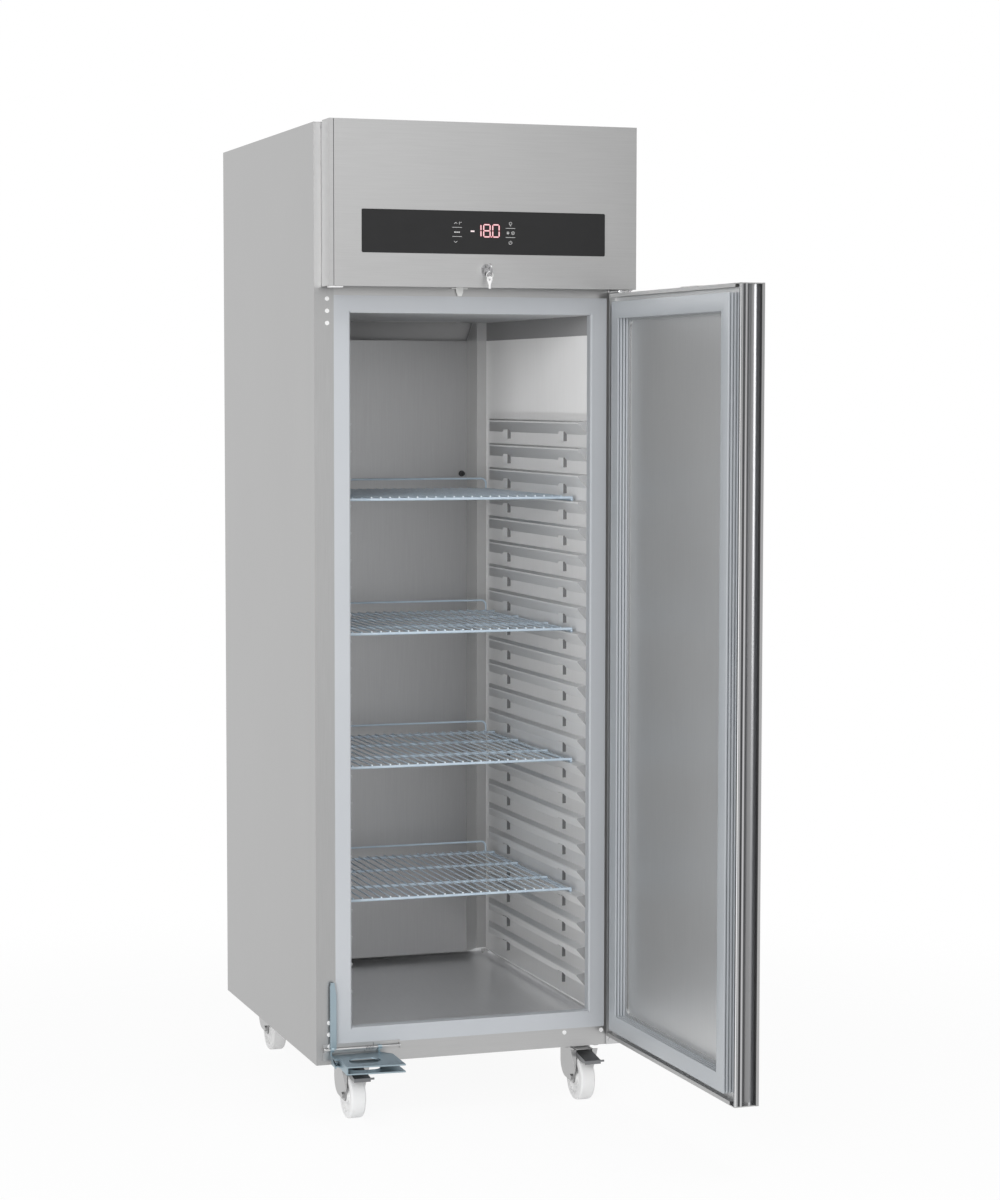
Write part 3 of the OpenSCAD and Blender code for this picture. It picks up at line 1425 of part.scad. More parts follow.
side_panel_left();
side_panel_right();
back_panel();
base_tray();
machine_deck();
machine_cover();
insulation();
inner_liner();
liner_floor();
front_frame();
hole_plugs();
shelf_rails_left();
shelf_rails_right();
duct_panel();
temperature_sensor();
evaporator();
evaporator_cover();
evaporator_fan();
fan_motors();
compressor();
condenser();
condenser_fan();
refrigerant_pipes();
cable_gland();
door_hinges();
fascia_hinges();
switch_housing();
switch_rocker();
pedal_bracket();
pedal_spring();
pedal();
castor_plates();
door_skin();
door_inner_panel();
door_foam();
door_gasket();
door_grip();
door_end_caps();
door_catch();
fascia_panel();
display_glass();
control_box();
lock_housing();
lock_barrel();
key();
spare_key();
shelf_1();
shelf_2();
shelf_3();
shelf_4();
fork_front_left();
fork_front_right();
fork_rear_left();
fork_rear_right();
wheel_front_left();
wheel_front_right();
wheel_rear_left();
wheel_rear_right();
brake_left();
brake_right();
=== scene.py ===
# %% [markdown]
# An upright storage freezer on castors.
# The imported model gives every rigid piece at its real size. This script adds what the eye needs:
# finishes, the soft gasket, screws and bolts, small trim, the lit display and a plain studio.
# Each step first says what the real thing is, then how it could be made and why this way was chosen.

import json
from math import pi, radians

import bmesh
import bpy
from mathutils import Matrix, Vector


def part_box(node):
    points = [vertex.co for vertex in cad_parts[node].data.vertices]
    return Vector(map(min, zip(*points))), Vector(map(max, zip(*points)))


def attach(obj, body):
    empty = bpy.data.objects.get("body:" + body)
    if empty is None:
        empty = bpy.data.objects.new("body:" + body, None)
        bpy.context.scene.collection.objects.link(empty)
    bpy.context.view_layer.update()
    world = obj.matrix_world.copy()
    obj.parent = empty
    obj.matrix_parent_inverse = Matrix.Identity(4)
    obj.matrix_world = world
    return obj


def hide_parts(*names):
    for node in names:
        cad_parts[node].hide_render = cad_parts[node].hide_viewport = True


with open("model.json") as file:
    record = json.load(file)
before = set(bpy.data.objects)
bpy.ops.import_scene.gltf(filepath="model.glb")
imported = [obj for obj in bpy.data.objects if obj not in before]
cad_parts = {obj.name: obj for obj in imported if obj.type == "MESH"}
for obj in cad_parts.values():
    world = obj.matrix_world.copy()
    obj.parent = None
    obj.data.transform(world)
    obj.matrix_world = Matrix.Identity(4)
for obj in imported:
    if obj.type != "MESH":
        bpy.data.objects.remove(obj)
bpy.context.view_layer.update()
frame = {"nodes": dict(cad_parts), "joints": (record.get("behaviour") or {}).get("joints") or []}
NODES = frame["nodes"]

# %% [markdown]
# Every place on the object is easier to think of from the cabinet's own corner than from the middle
# of the whole model, where the origin lies. A cabinetmaker measures from the left side, from the
# front flange and from the floor, so the helper below takes millimetres in that order.

# %% Places on the cabinet
MM = 0.001
SIDE_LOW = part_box("side_panel_left")[0]
CORNER = Vector((SIDE_LOW.x, SIDE_LOW.y, 0.0))


def at(x, y, z):
    """A place in metres from millimetres right of the left side, behind the flange and above the floor."""
    return CORNER + Vector((x, y, z)) * MM


def joint(name):
    """The joint of that name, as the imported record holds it."""
    return next(j for j in frame["joints"] if j["name"] == name)


def hinge_place(name):
    """A point on a hinge's axis."""
    return Vector(joint(name)["pos_m"])


FASCIA_LOW, FASCIA_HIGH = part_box("fascia_panel")
print("cabinet corner", [round(v, 4) for v in CORNER])

# %% [markdown]
# The door is modelled shut and then swung open, because its own edges run straight along the axes
# only while it is shut. The angle at rest is the one that the hinge's range names as its way back.

# %% The open door
DOOR_HINGE = hinge_place("door_hinge")
DOOR_ANGLE = radians(-joint("door_hinge")["range_deg"][0])
SWING = (Matrix.Translation(DOOR_HINGE) @ Matrix.Rotation(DOOR_ANGLE, 4, "Z")
         @ Matrix.Translation(-DOOR_HINGE))


def shut_box(node):
    """Lowest and highest corner of a door piece as if the door were shut."""
    back = SWING.inverted()
    places = [back @ v.co for v in NODES[node].data.vertices]
    low = Vector([min(p[i] for p in places) for i in range(3)])
    high = Vector([max(p[i] for p in places) for i in range(3)])
    return low, high


print("door stands open at", round(DOOR_ANGLE * 180 / pi, 1), "degrees")

# %% [markdown]
# The camera stands where the photographer's did: nearly six metres off, to the left, at chest height.
# Its place, its turn and its long lens were worked out from the straight edges of the cabinet.

# %% Camera
FRAME_PX = 1200
FOCAL_PX = 2865
SENSOR_MM = 36
YAW, PITCH, ROLL = radians(18.656), radians(-4.0995), radians(0.0755)
EYE = at(-1552.3, -5813.4, 1547.7)
VIEW_END = 50

camera = bpy.data.objects.new("camera", bpy.data.cameras.new("camera"))
camera.data.sensor_width = SENSOR_MM
camera.data.lens = SENSOR_MM * FOCAL_PX / FRAME_PX
camera.data.clip_end = VIEW_END
camera.matrix_world = (Matrix.Translation(EYE) @ Matrix.Rotation(-YAW, 4, "Z")
                       @ Matrix.Rotation(radians(90) + PITCH, 4, "X") @ Matrix.Rotation(ROLL, 4, "Z"))
bpy.context.scene.collection.objects.link(camera)
bpy.context.scene.camera = camera
bpy.context.scene.view_settings.view_transform = "Standard"
print("lens", round(camera.data.lens, 2), "mm, eye", [round(v, 3) for v in EYE])

# %% [markdown]
# A material is a small tree of nodes. One function adds a node with its settings, its values and
# its links, so that each finish below reads as a list of what the real surface does.
# Colours are written as hex values, as a paint chart gives them, and one function turns them linear.

# %% Node and colour helpers


def linear(hex_colour):
    """Linear colour with full alpha from an sRGB hex value."""
    parts = [int(hex_colour[i:i + 2], 16) / 255 for i in (1, 3, 5)]
    return [p / 12.92 if p <= 0.04045 else ((p + 0.055) / 1.055) ** 2.4 for p in parts] + [1.0]


def add(tree, kind, settings=None, values=None, links=None):
    """Adds one node, sets its properties and its sockets' values, and links its inputs."""
    made = tree.nodes.new(kind)
    for name, value in (settings or {}).items():
        setattr(made, name, value)
    for name, value in (values or {}).items():
        made.inputs[name].default_value = value
    for name, source in (links or {}).items():
        tree.links.new(source, made.inputs[name])
    return made


def new_material(name):
    """An empty material and its tree."""
    made = bpy.data.materials.new(name)
    made.use_nodes = True
    made.node_tree.nodes.clear()
    return made, made.node_tree


def spread(tree, source, low, high):
    """Maps a 0 to 1 pattern to values from low to high."""
    return add(tree, "ShaderNodeMapRange", values={"To Min": low, "To Max": high},
               links={"Value": source}).outputs["Result"]


def tint(tree, source, dark, light):
    """Maps a 0 to 1 pattern to colours from dark to light."""
    made = add(tree, "ShaderNodeValToRGB", links={"Fac": source})
    made.color_ramp.elements[0].color = linear(dark)
    made.color_ramp.elements[1].color = linear(light)
    return made.outputs["Color"]


# %% [markdown]
# No real surface is quite even, so every finish starts from a noise that is read in the piece's own
# millimetres. Its grains can be long and thin, as brushed lines are, or broad and slow, as a cloud is.

# %% Patterns


def pattern(tree, size_mm, detail=2.0):
    """Noise on Object coordinates whose grains measure size_mm along X, Y and Z."""
    place = add(tree, "ShaderNodeTexCoord").outputs["Object"]
    scale = [1 / (s * MM) for s in size_mm]
    mapped = add(tree, "ShaderNodeMapping", values={"Scale": scale},
                 links={"Vector": place}).outputs["Vector"]
    return add(tree, "ShaderNodeTexNoise", values={"Scale": 1.0, "Detail": detail},
               links={"Vector": mapped}).outputs["Fac"]


# %% [markdown]
# One folded sheet is painted brighter or darker on one face than on the next, as painted light and
# painted shade for the way the light falls on it. The fold has no seam, so the piece isn't split. Its
# tone depends on where a point lies and which way its face looks, both in the object's own coordinates,
# so that it stays put in every view.

# %% Painted light and shade by place
FACING_FROM, FACING_FULL = 0.7, 0.95


def facing(tree, direction):
    """1 where a face looks along a direction, fading to 0 where it looks past it."""
    normal = add(tree, "ShaderNodeTexCoord").outputs["Normal"]
    along = add(tree, "ShaderNodeVectorMath", {"operation": "DOT_PRODUCT"}, values={1: direction},
                links={0: normal}).outputs["Value"]
    return add(tree, "ShaderNodeMapRange", values={"From Min": FACING_FROM, "From Max": FACING_FULL},
               links={"Value": along}).outputs["Result"]


def zone(tree, direction, low, high):
    """1 on faces that look along a direction inside a box of the cabinet's millimetres, and 0 elsewhere."""
    place = add(tree, "ShaderNodeTexCoord").outputs["Object"]
    parts = add(tree, "ShaderNodeSeparateXYZ", links={"Vector": place})
    share = facing(tree, direction)
    for axis, start, end in zip("XYZ", at(*low), at(*high)):
        inside = add(tree, "ShaderNodeMath", {"operation": "COMPARE"}, links={0: parts.outputs[axis]},
                     values={1: (start + end) / 2, 2: (end - start) / 2}).outputs["Value"]
        share = add(tree, "ShaderNodeMath", {"operation": "MULTIPLY"},
                    links={0: share, 1: inside}).outputs["Value"]
    return share


def toned(tree, colour, turned):
    """A colour with painted light or painted shade in each zone of a list: its direction, its two corners and
    its hex value.
    """
    for direction, low, high, tone in turned:
        colour = add(tree, "ShaderNodeMix", {"data_type": "RGBA"}, values={7: linear(tone)},
                     links={0: zone(tree, direction, low, high), 6: colour}).outputs[2]
    return colour


# %% [markdown]
# Every finish ends in one Principled shader, which can be a metal or a plastic. Colour and roughness may
# come from a pattern. What is the same all over, such as the share of metal, is set on the shader itself.
# A smear draws highlights out along a level direction halfway between the side walls' and the rear
# wall's own, so that one value serves them all.

# %% Ending a material
DIAGONAL = 0.707


def finish(tree, colour, rough, metallic=0.0, bump=None, bump_mm=0.02, fixed=None, smear=None):
    """The Principled shader that ends a material, with its bump in millimetres."""
    values = {"Metallic": metallic, **(fixed or {})}
    links = {}
    if smear:
        values["Anisotropic"] = smear
        across = add(tree, "ShaderNodeCombineXYZ", values={"X": DIAGONAL, "Y": DIAGONAL, "Z": 0.0})
        links["Tangent"] = across.outputs["Vector"]
    for socket, value in (("Base Color", colour), ("Roughness", rough)):
        if isinstance(value, (float, list)):
            values[socket] = value
        else:
            links[socket] = value
    if bump is not None:
        links["Normal"] = add(tree, "ShaderNodeBump", values={"Strength": 1.0, "Distance": bump_mm * MM},
                              links={"Height": bump}).outputs["Normal"]
    shader = add(tree, "ShaderNodeBsdfPrincipled", values=values, links=links)
    add(tree, "ShaderNodeOutputMaterial", links={"Surface": shader.outputs["BSDF"]})


# %% [markdown]
# Stainless sheet is rolled flat and then drawn under an abrasive belt, which leaves fine lines all
# one way. The eye sees a soft, pale metal whose highlights smear across the lines. The real lines
# are about 0.1 mm wide, too fine to show from six metres, so they are drawn 1.6 mm wide and 90 mm
# long, with a broad slow cloud on top, as a wiped and handled sheet has. The cold store's sheets are
# painted paler, as painted light for the light they catch. Painted shade darkens the ceiling, the band
# beside the air slot, the rear wall, the ledges' ends and the punched tabs, and painted light brightens
# the duct's slanted flank. Upright lines smear a highlight sideways, and with it the side walls catch
# the white light of the open front.

# %% Brushed stainless steel
GRAIN_MM = 1.6
STROKE_MM = 90.0
LINE_DEPTH_MM = 0.012
LINE_SHARE = 0.55
CLOUD_MM = (260, 260, 340)
CLOUD_LOW, CLOUD_HIGH = 0.1, 0.35
SMEAR = 0.85


def brushed_stainless(name, dark, light, grain_axis, low_rough=0.30, high_rough=0.44, metallic=1.0,
                      turned=(), smear=None):
    """Belt-brushed stainless sheet: its grain along one axis, its painted light and shade where it turns, its
    level smear.
    """
    made, tree = new_material(name)
    size = [GRAIN_MM] * 3
    size["XYZ".index(grain_axis)] = STROKE_MM
    lines = pattern(tree, size, detail=3.0)
    cloud = spread(tree, pattern(tree, CLOUD_MM, detail=1.0), CLOUD_LOW, CLOUD_HIGH)
    both = add(tree, "ShaderNodeMath", {"operation": "MULTIPLY_ADD"}, values={1: LINE_SHARE},
               links={0: lines, 2: cloud})
    colour = tint(tree, both.outputs["Value"], dark, light)
    rough = spread(tree, both.outputs["Value"], low_rough, high_rough)
    finish(tree, toned(tree, colour, turned), rough, metallic, bump=lines, bump_mm=LINE_DEPTH_MM, smear=smear)
    return made


# %% [markdown]
# The painted light and shade of the cold store and of the door's lining need their parts as boxes. Each
# span is a little wider than its sheet, which does no harm, because a zone only paints the faces that look
# its way.

# %% Parts of the cold store
FRONT, DOWN, LEFT, RIGHT = (0, -1, 0), (0, 0, -1), (-1, 0, 0), (1, 0, 0)
DUCT_FLANK = (DIAGONAL, -DIAGONAL, 0)
WIDTH, DEPTH, HEIGHT = (60, 640), (-20, 760), (150, 1740)
LEFT_WALL, RIGHT_WALL, REAR_WALL = (50, 100), (600, 640), (700, 760)
BELOW_SLOT, AIR_SLOT = (150, 1676), (1676, 1740)
LEDGE_ENDS, LEDGE_TABS = (-20, 100), (100, 760)
ANYWHERE = ((-300, -900, 0), (1100, 900, 2200))


def spans(x, y, z):
    """Lowest and highest corner of a box from its spans along X, Y and Z."""
    return tuple(zip(x, y, z))


# Painted shade on the liner: darker on faces that look down, on the side walls beside the air slot, on the
# rear wall and in the air slot.
LINER_PAINTED_SHADE = [(DOWN, *ANYWHERE, "#d8d8d8"),
               (LEFT, *spans(RIGHT_WALL, DEPTH, AIR_SLOT), "#969697"),
               (RIGHT, *spans(LEFT_WALL, DEPTH, AIR_SLOT), "#969697"),
               (FRONT, *spans(WIDTH, REAR_WALL, BELOW_SLOT), "#bcbcbc"),
               (FRONT, *spans(WIDTH, REAR_WALL, AIR_SLOT), "#b4b4b5")]
# Painted shade on the rails: darker front faces on the punched tabs and on the ledges' ends.
RAIL_PAINTED_SHADE = [(FRONT, *spans(WIDTH, LEDGE_TABS, HEIGHT), "#737475"),
              (FRONT, *spans(WIDTH, LEDGE_ENDS, HEIGHT), "#b4b5b6")]
# Painted light: the duct's slanted flank is painted brighter.
DUCT_PAINTED_LIGHT = [(DUCT_FLANK, *ANYWHERE, "#dcdcdc")]
# Painted shade: the door lining's faces that look to the front are painted darker.
LINING_PAINTED_SHADE = [(FRONT, *ANYWHERE, "#8c8d8e")]
print("zones", len(LINER_PAINTED_SHADE + RAIL_PAINTED_SHADE + DUCT_PAINTED_LIGHT + LINING_PAINTED_SHADE))

# %% [markdown]
# The same kind of sheet is finished in several ways. Outside it is a middling grey. The liner, its
# rails, the door's lining and the floor are painted paler, as painted light for the light they catch
# through the open front. The liner and its rails are softer in their gloss, and the duct, the door's
# lining and the floor keep a sharper one. The lines stand upright, but run across on the fascia and
# the folded trim, and front to back on the floor.

# %% Stainless finishes
skin_upright = brushed_stainless("stainless_sheet_brushed_upright", "#a0a0a0", "#b8b8b8", "Z")
skin_level = brushed_stainless("stainless_sheet_brushed_level", "#aeaeae", "#c4c4c4", "X")
# Painted light: the liner, its rails, the door's lining and the floor get paler colours than the outside
# sheets.
liner_upright = brushed_stainless("stainless_liner_upright_painted_light_and_shade", "#dedede", "#f0f0f0", "Z",
                                  0.54, 0.64, 0.85, LINER_PAINTED_SHADE, SMEAR)
rail_upright = brushed_stainless("stainless_rails_pressed_painted_light_and_shade", "#dcdcdc", "#eeeeee", "Z",
                                 0.46, 0.58, 0.85, RAIL_PAINTED_SHADE, SMEAR)
duct_upright = brushed_stainless("stainless_duct_brushed_upright", "#9a9a9b", "#b0b0b1", "Z",
                                 0.32, 0.44, 0.9, DUCT_PAINTED_LIGHT)
door_lining = brushed_stainless("stainless_door_lining_brushed", "#c8c9ca", "#dcdddd", "Z",
                                0.34, 0.46, 0.7, LINING_PAINTED_SHADE)
liner_deep = brushed_stainless("stainless_floor_brushed_deep", "#d6d7d8", "#ececed", "Y", 0.28, 0.38, 0.75)
print("stainless finishes", sorted(m.name for m in bpy.data.materials if m.name.startswith("stainless_")))

# %% [markdown]
# Zinc is plated on pressed steel in a barrel of salts. A clear pass leaves it bright and faintly
# blue, a blue pass as on the pedal leaves a strong blue-grey, and hot-dipped sheet shows large
# crystals. All three are the same metal with another tint and another size of cloud. The levers of the
# brakes are pressed from plain oiled steel, a duller metal that the same function makes.

# %% Zinc finishes


def zinc(name, dark, light, grain_mm, rough):
    """Zinc on steel: a metal with soft clouds where the plating is thicker."""
    made, tree = new_material(name)
    cloud = pattern(tree, (grain_mm,) * 3, detail=3.0)
    colour = tint(tree, cloud, dark, light)
    finish(tree, colour, spread(tree, cloud, rough - 0.06, rough + 0.1), 1.0, bump=cloud, bump_mm=0.006)
    return made


zinc_bright = zinc("zinc_plate_bright", "#b0b0b0", "#bcbcbc", 40, 0.30)
zinc_blue = zinc("zinc_plate_blue_passivated", "#97a9b2", "#a6b5bd", 36, 0.36)
zinc_sheet = zinc("zinc_hot_dipped_sheet", "#9c9ea0", "#b9babc", 30, 0.42)
steel_dark = zinc("steel_pressed_oiled", "#77787a", "#868789", 24, 0.34)
print("zinc and steel", [m.name for m in (zinc_bright, zinc_blue, zinc_sheet, steel_dark)])

# %% [markdown]
# Nickel and chrome on the lock, the keys and the hinges are polished before they are plated, so they
# mirror the room with only a faint haze. Copper tube and spring wire are drawn through a die, which
# leaves them smooth with faint lines. The door's grip is extruded from anodised aluminium. Its narrow
# lands carry painted highlights, and its grooves and its wide face carry painted shade.

# %% Plated and drawn metals


def drawn_metal(name, dark, light, rough, grain_mm=(0.8, 6.0, 0.8), turned=()):
    """A polished or drawn metal with faint scratches along the draw."""
    made, tree = new_material(name)
    scratch = pattern(tree, grain_mm, detail=2.0)
    colour = toned(tree, tint(tree, scratch, dark, light), turned)
    finish(tree, colour, spread(tree, scratch, rough, rough + 0.1), 1.0, bump=scratch, bump_mm=0.004)
    return made


# %% [markdown]
# The strips of the grip are only a few millimetres wide, and the imported profile already has their
# form. Each is a zone with a painted highlight or a painted shade of its own, counted across the face
# from the gasket's side: white where a land would catch the light, dark where a groove or the face lies in
# shade.

# %% Painted highlights and shade on the grip's lands and grooves
GRIP_X, GRIP_Y, GRIP_Z = 658.6, (-900, -600), (100, 1800)


def grip_painted_strip(start, end, tone):
    """The painted highlight or painted shade of one strip of the grip, in millimetres across its face from
    the gasket's side.
    """
    return (FRONT, *spans((GRIP_X + start, GRIP_X + end), GRIP_Y, GRIP_Z), tone)


# Painted highlights and painted shade across the grip's face.
GRIP_PAINTED_STRIPS = [grip_painted_strip(-1.5, 1.8, "#ffffff"), grip_painted_strip(3.4, 5.0, "#c4c4c5"), grip_painted_strip(6.6, 10.6, "#5a5a5b"),
         grip_painted_strip(11.6, 14.6, "#c0c0c1"), grip_painted_strip(15.6, 18.0, "#5e5e5f"), grip_painted_strip(18.0, 39.0, "#8c8c8d"),
         grip_painted_strip(39.0, 50.0, "#3e3e3f")]
print("strips of the grip", len(GRIP_PAINTED_STRIPS))

# %% [markdown]
# What sets the drawn metals apart is their tint, how far they blur the room, and the way their scratches
# run: upright on the grip, and in no clear direction on the bent tubes.

# %% Metals with faint scratches
nickel = drawn_metal("nickel_plate_polished", "#8a8a8b", "#a6a6a7", 0.14)
chrome = drawn_metal("chrome_plate_polished", "#b6b6b7", "#cececf", 0.12)
spring_wire = drawn_metal("spring_wire_drawn", "#8f9092", "#b3b4b6", 0.22, (4, 1, 1))
copper = drawn_metal("copper_tube_drawn", "#a8653f", "#cf8a5e", 0.28, (3, 3, 3))
aluminium = drawn_metal("aluminium_fin_sheet", "#a9abad", "#c6c8ca", 0.32, (2, 2, 8))
# The grip's finish carries the painted strips.
grip_metal = drawn_metal("aluminium_profile_anodised", "#858688", "#939496", 0.24, (2, 2, 120), GRIP_PAINTED_STRIPS)
print("drawn metals", [m.name for m in (nickel, chrome, spring_wire, copper, aluminium, grip_metal)])

# %% [markdown]
# Plastics here are moulded nylon, extruded vinyl, coated wire and painted steel. None is a metal:
# the colour lies in the body and a clear, weak gloss lies over it, softer where the mould was
# blasted. A fine grain in the bump breaks the gloss up as the tool's surface does.

# %% Plastics, rubber, paint and foam


def moulded(name, dark, light, rough, grain_mm=0.9, bump_mm=0.02, cloud_mm=60, fixed=None):
    """A plastic, paint or rubber with a body colour and a fine surface grain."""
    made, tree = new_material(name)
    cloud = pattern(tree, (cloud_mm,) * 3, detail=1.0)
    grain = pattern(tree, (grain_mm,) * 3, detail=2.0)
    finish(tree, tint(tree, cloud, dark, light), spread(tree, grain, rough - 0.05, rough + 0.07), 0.0,
           bump=grain, bump_mm=bump_mm, fixed={"IOR": 1.5, **(fixed or {})})
    return made


frame_vinyl = moulded("pvc_profile_extruded_grey", "#bcc0c5", "#c6c9cd", 0.38, 2.0, 0.01, 300)
gasket_vinyl = moulded("vinyl_gasket_soft_grey", "#aeb3b8", "#babec2", 0.24, 1.2, 0.008, 200)
nylon_white = moulded("nylon_moulded_white", "#f4f4f4", "#fcfcfc", 0.42)
nylon_natural = moulded("nylon_moulded_natural", "#cfcfcd", "#dcdcda", 0.42)
# The bead's near-white colour is a painted highlight.
silicone = moulded("silicone_bead_painted_highlight", "#f2f2f2", "#fafafa", 0.30, 2.0, 0.01, 80)
# The drops' paler colour is a painted highlight.
wire_dip = moulded("wire_end_dipped_painted_highlight", "#e6f0f6", "#f4f8fa", 0.24, 2.0, 0.01, 20)
abs_white = moulded("abs_moulded_white", "#f2f2f0", "#fafaf8", 0.36)
coated_wire = moulded("wire_coated_pale_blue", "#b4c6d6", "#cfdde8", 0.24, 3.0, 0.01, 30,
                      {"Coat Weight": 0.4, "Coat Roughness": 0.1})
black_plastic = moulded("abs_moulded_black", "#1a1b1c", "#242526", 0.42)
enamel_black = moulded("enamel_baked_black", "#141516", "#202122", 0.28, 1.4, 0.03, 40)
foam = moulded("polyurethane_foam_cut", "#c9b77c", "#e0d09a", 0.85, 1.5, 0.3, 12)
print("materials", len(bpy.data.materials))

# %% [markdown]
# The display is one sheet of black glass, printed on its back and polished on its front. Only its
# surface mirrors the room, so a dark body under a smooth clear face is enough. The lamps behind it shine
# by themselves, a little unevenly, as light through a milky window does.

# %% Display glass


def printed_glass():
    """Black printed glass with a faint wipe haze."""
    made, tree = new_material("glass_back_printed_black")
    haze = pattern(tree, (45, 45, 30), detail=3.0)
    finish(tree, tint(tree, haze, "#1b1b1c", "#222223"), spread(tree, haze, 0.14, 0.24), 0.0,
           fixed={"IOR": 1.52, "Specular IOR Level": 0.3})
    return made


def lit(name, colour, pale, strength):
    """A lamp behind the glass: light of one colour with a faint unevenness from edge to edge."""
    made, tree = new_material(name)
    glow = pattern(tree, (3, 3, 3), detail=0.0)
    shade = tint(tree, glow, colour, pale)
    shader = add(tree, "ShaderNodeBsdfPrincipled",
                 values={"Base Color": linear("#202020"), "Emission Strength": strength, "Roughness": 0.4},
                 links={"Emission Color": shade})
    add(tree, "ShaderNodeOutputMaterial", links={"Surface": shader.outputs["BSDF"]})
    return made


glass_black = printed_glass()
led_red = lit("led_segment_red", "#e83450", "#ff6078", 0.95)
led_core = lit("led_segment_core", "#ffe0e4", "#fff6f7", 1.0)
led_white = lit("led_icon_white", "#dcdcdc", "#f2f2f2", 0.9)
print("glass and lamps", [m.name for m in (glass_black, led_red, led_core, led_white)])

# %% [markdown]
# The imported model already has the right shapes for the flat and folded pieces, so each of them
# keeps its solid and only gets its finish. One table says which finish each piece has.

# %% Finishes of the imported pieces
FINISHES = {
    skin_upright: ["side_panel_left", "side_panel_right", "door_skin"],
    skin_level: ["fascia_panel", "door_end_caps", "base_tray", "machine_deck"],
    liner_upright: ["inner_liner"],
    rail_upright: ["shelf_rails_left", "shelf_rails_right"],
    duct_upright: ["duct_panel"],
    door_lining: ["door_inner_panel"],
    liner_deep: ["liner_floor"],
    zinc_sheet: ["back_panel", "machine_cover", "fascia_hinges"],
    zinc_bright: ["castor_plates", "pedal_bracket", "fork_front_left", "fork_front_right", "fork_rear_left",
                  "fork_rear_right"],
    steel_dark: ["brake_left", "brake_right"],
    zinc_blue: ["pedal"],
    frame_vinyl: ["front_frame"],
    gasket_vinyl: ["door_gasket"],
    grip_metal: ["door_grip"],
    nylon_white: ["hole_plugs", "spare_key", "wheel_front_left", "wheel_front_right",
                  "wheel_rear_left", "wheel_rear_right"],
    nylon_natural: ["door_catch"],
    abs_white: ["switch_housing", "switch_rocker", "evaporator_cover"],
    coated_wire: ["shelf_1", "shelf_2", "shelf_3", "shelf_4"],
    black_plastic: ["temperature_sensor", "evaporator_fan", "condenser_fan", "cable_gland", "control_box"],
    enamel_black: ["compressor", "fan_motors"],
    foam: ["insulation", "door_foam"],
    aluminium: ["evaporator", "condenser"],
    copper: ["refrigerant_pipes"],
    spring_wire: ["pedal_spring"],
    nickel: ["lock_housing", "lock_barrel", "key"],
    chrome: ["door_hinges"],
    glass_black: ["display_glass"],
}


def dress(piece, material):
    """Gives a piece one finish through its material slots."""
    if not piece.data.materials:
        piece.data.materials.append(material)
    for index in range(len(piece.data.materials)):
        piece.data.materials[index] = material


for material, names in FINISHES.items():
    for name in names:
        dress(NODES[name], material)
bare = sorted(set(NODES) - {n for names in FINISHES.values() for n in names})
print("pieces without a finish", bare)

# %% [markdown]
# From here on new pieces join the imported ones. Each is shaped in a bmesh with its place already in
# its vertices, so that its object can stay at the origin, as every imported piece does. The last step
# merges doubled points, turns the faces outwards and rounds the shading of all but the sharp edges.

# %% Ending a new piece
MERGE_MM = 0.004


def new_piece(name, shape, material, body, sharp=32):
    """Ends a bmesh as an object that rides on a body, with edges above an angle left sharp."""
    bmesh.ops.remove_doubles(shape, verts=shape.verts, dist=MERGE_MM * MM)
    bmesh.ops.recalc_face_normals(shape, faces=shape.faces)
    for face in shape.faces:
        face.smooth = True
    for edge in shape.edges:
        edge.smooth = edge.calc_face_angle(pi) < radians(sharp)
    made = bpy.data.objects.new(name, bpy.data.meshes.new(name))
    shape.to_mesh(made.data)
    print(name, "faces", len(shape.faces))
    shape.free()
    made.data.materials.append(material)
    bpy.context.scene.collection.objects.link(made)
    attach(made, body)
    return made


def edges_of(verts):
    """The edges of a newly made shape, each once and in a steady order."""
    return list(dict.fromkeys(edge for vert in verts for edge in vert.link_edges))


# %% [markdown]
# The display shows only two kinds of strokes, straight bars and round lines, so two helpers draw all of
# it. A bar is a cube drawn out. For a pointed one, its four short edges are bevelled by half its height.
# A round line is a small square outline that is spun about its centre, the whole way or part of it.

# %% Bars and arcs on the glass
PRINT_T = 0.25
GLASS_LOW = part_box("display_glass")[0]
GLASS_Y = (GLASS_LOW.y - CORNER.y) / MM
POINT_SHARE = 0.96
ARC_STEPS = 24


def bar(shape, x, z, length, width, angle=0.0, pointed=False, proud=0.0):
    """A thin bar on the glass, its middle at x and z, turned from level."""
    place = (Matrix.Translation(at(x, GLASS_Y - proud, z)) @ Matrix.Rotation(radians(-angle), 4, "Y")
             @ Matrix.Diagonal((length * MM, PRINT_T * MM, width * MM, 1)))
    made = bmesh.ops.create_cube(shape, size=1, matrix=place)["verts"]
    if pointed:
        ends = [e for e in edges_of(made) if abs((e.verts[0].co - e.verts[1].co).normalized().y) > 0.9]
        bmesh.ops.bevel(shape, geom=ends, offset=width / 2 * POINT_SHARE * MM, affect="EDGES", segments=1,
                        profile=0.5, material=-1)


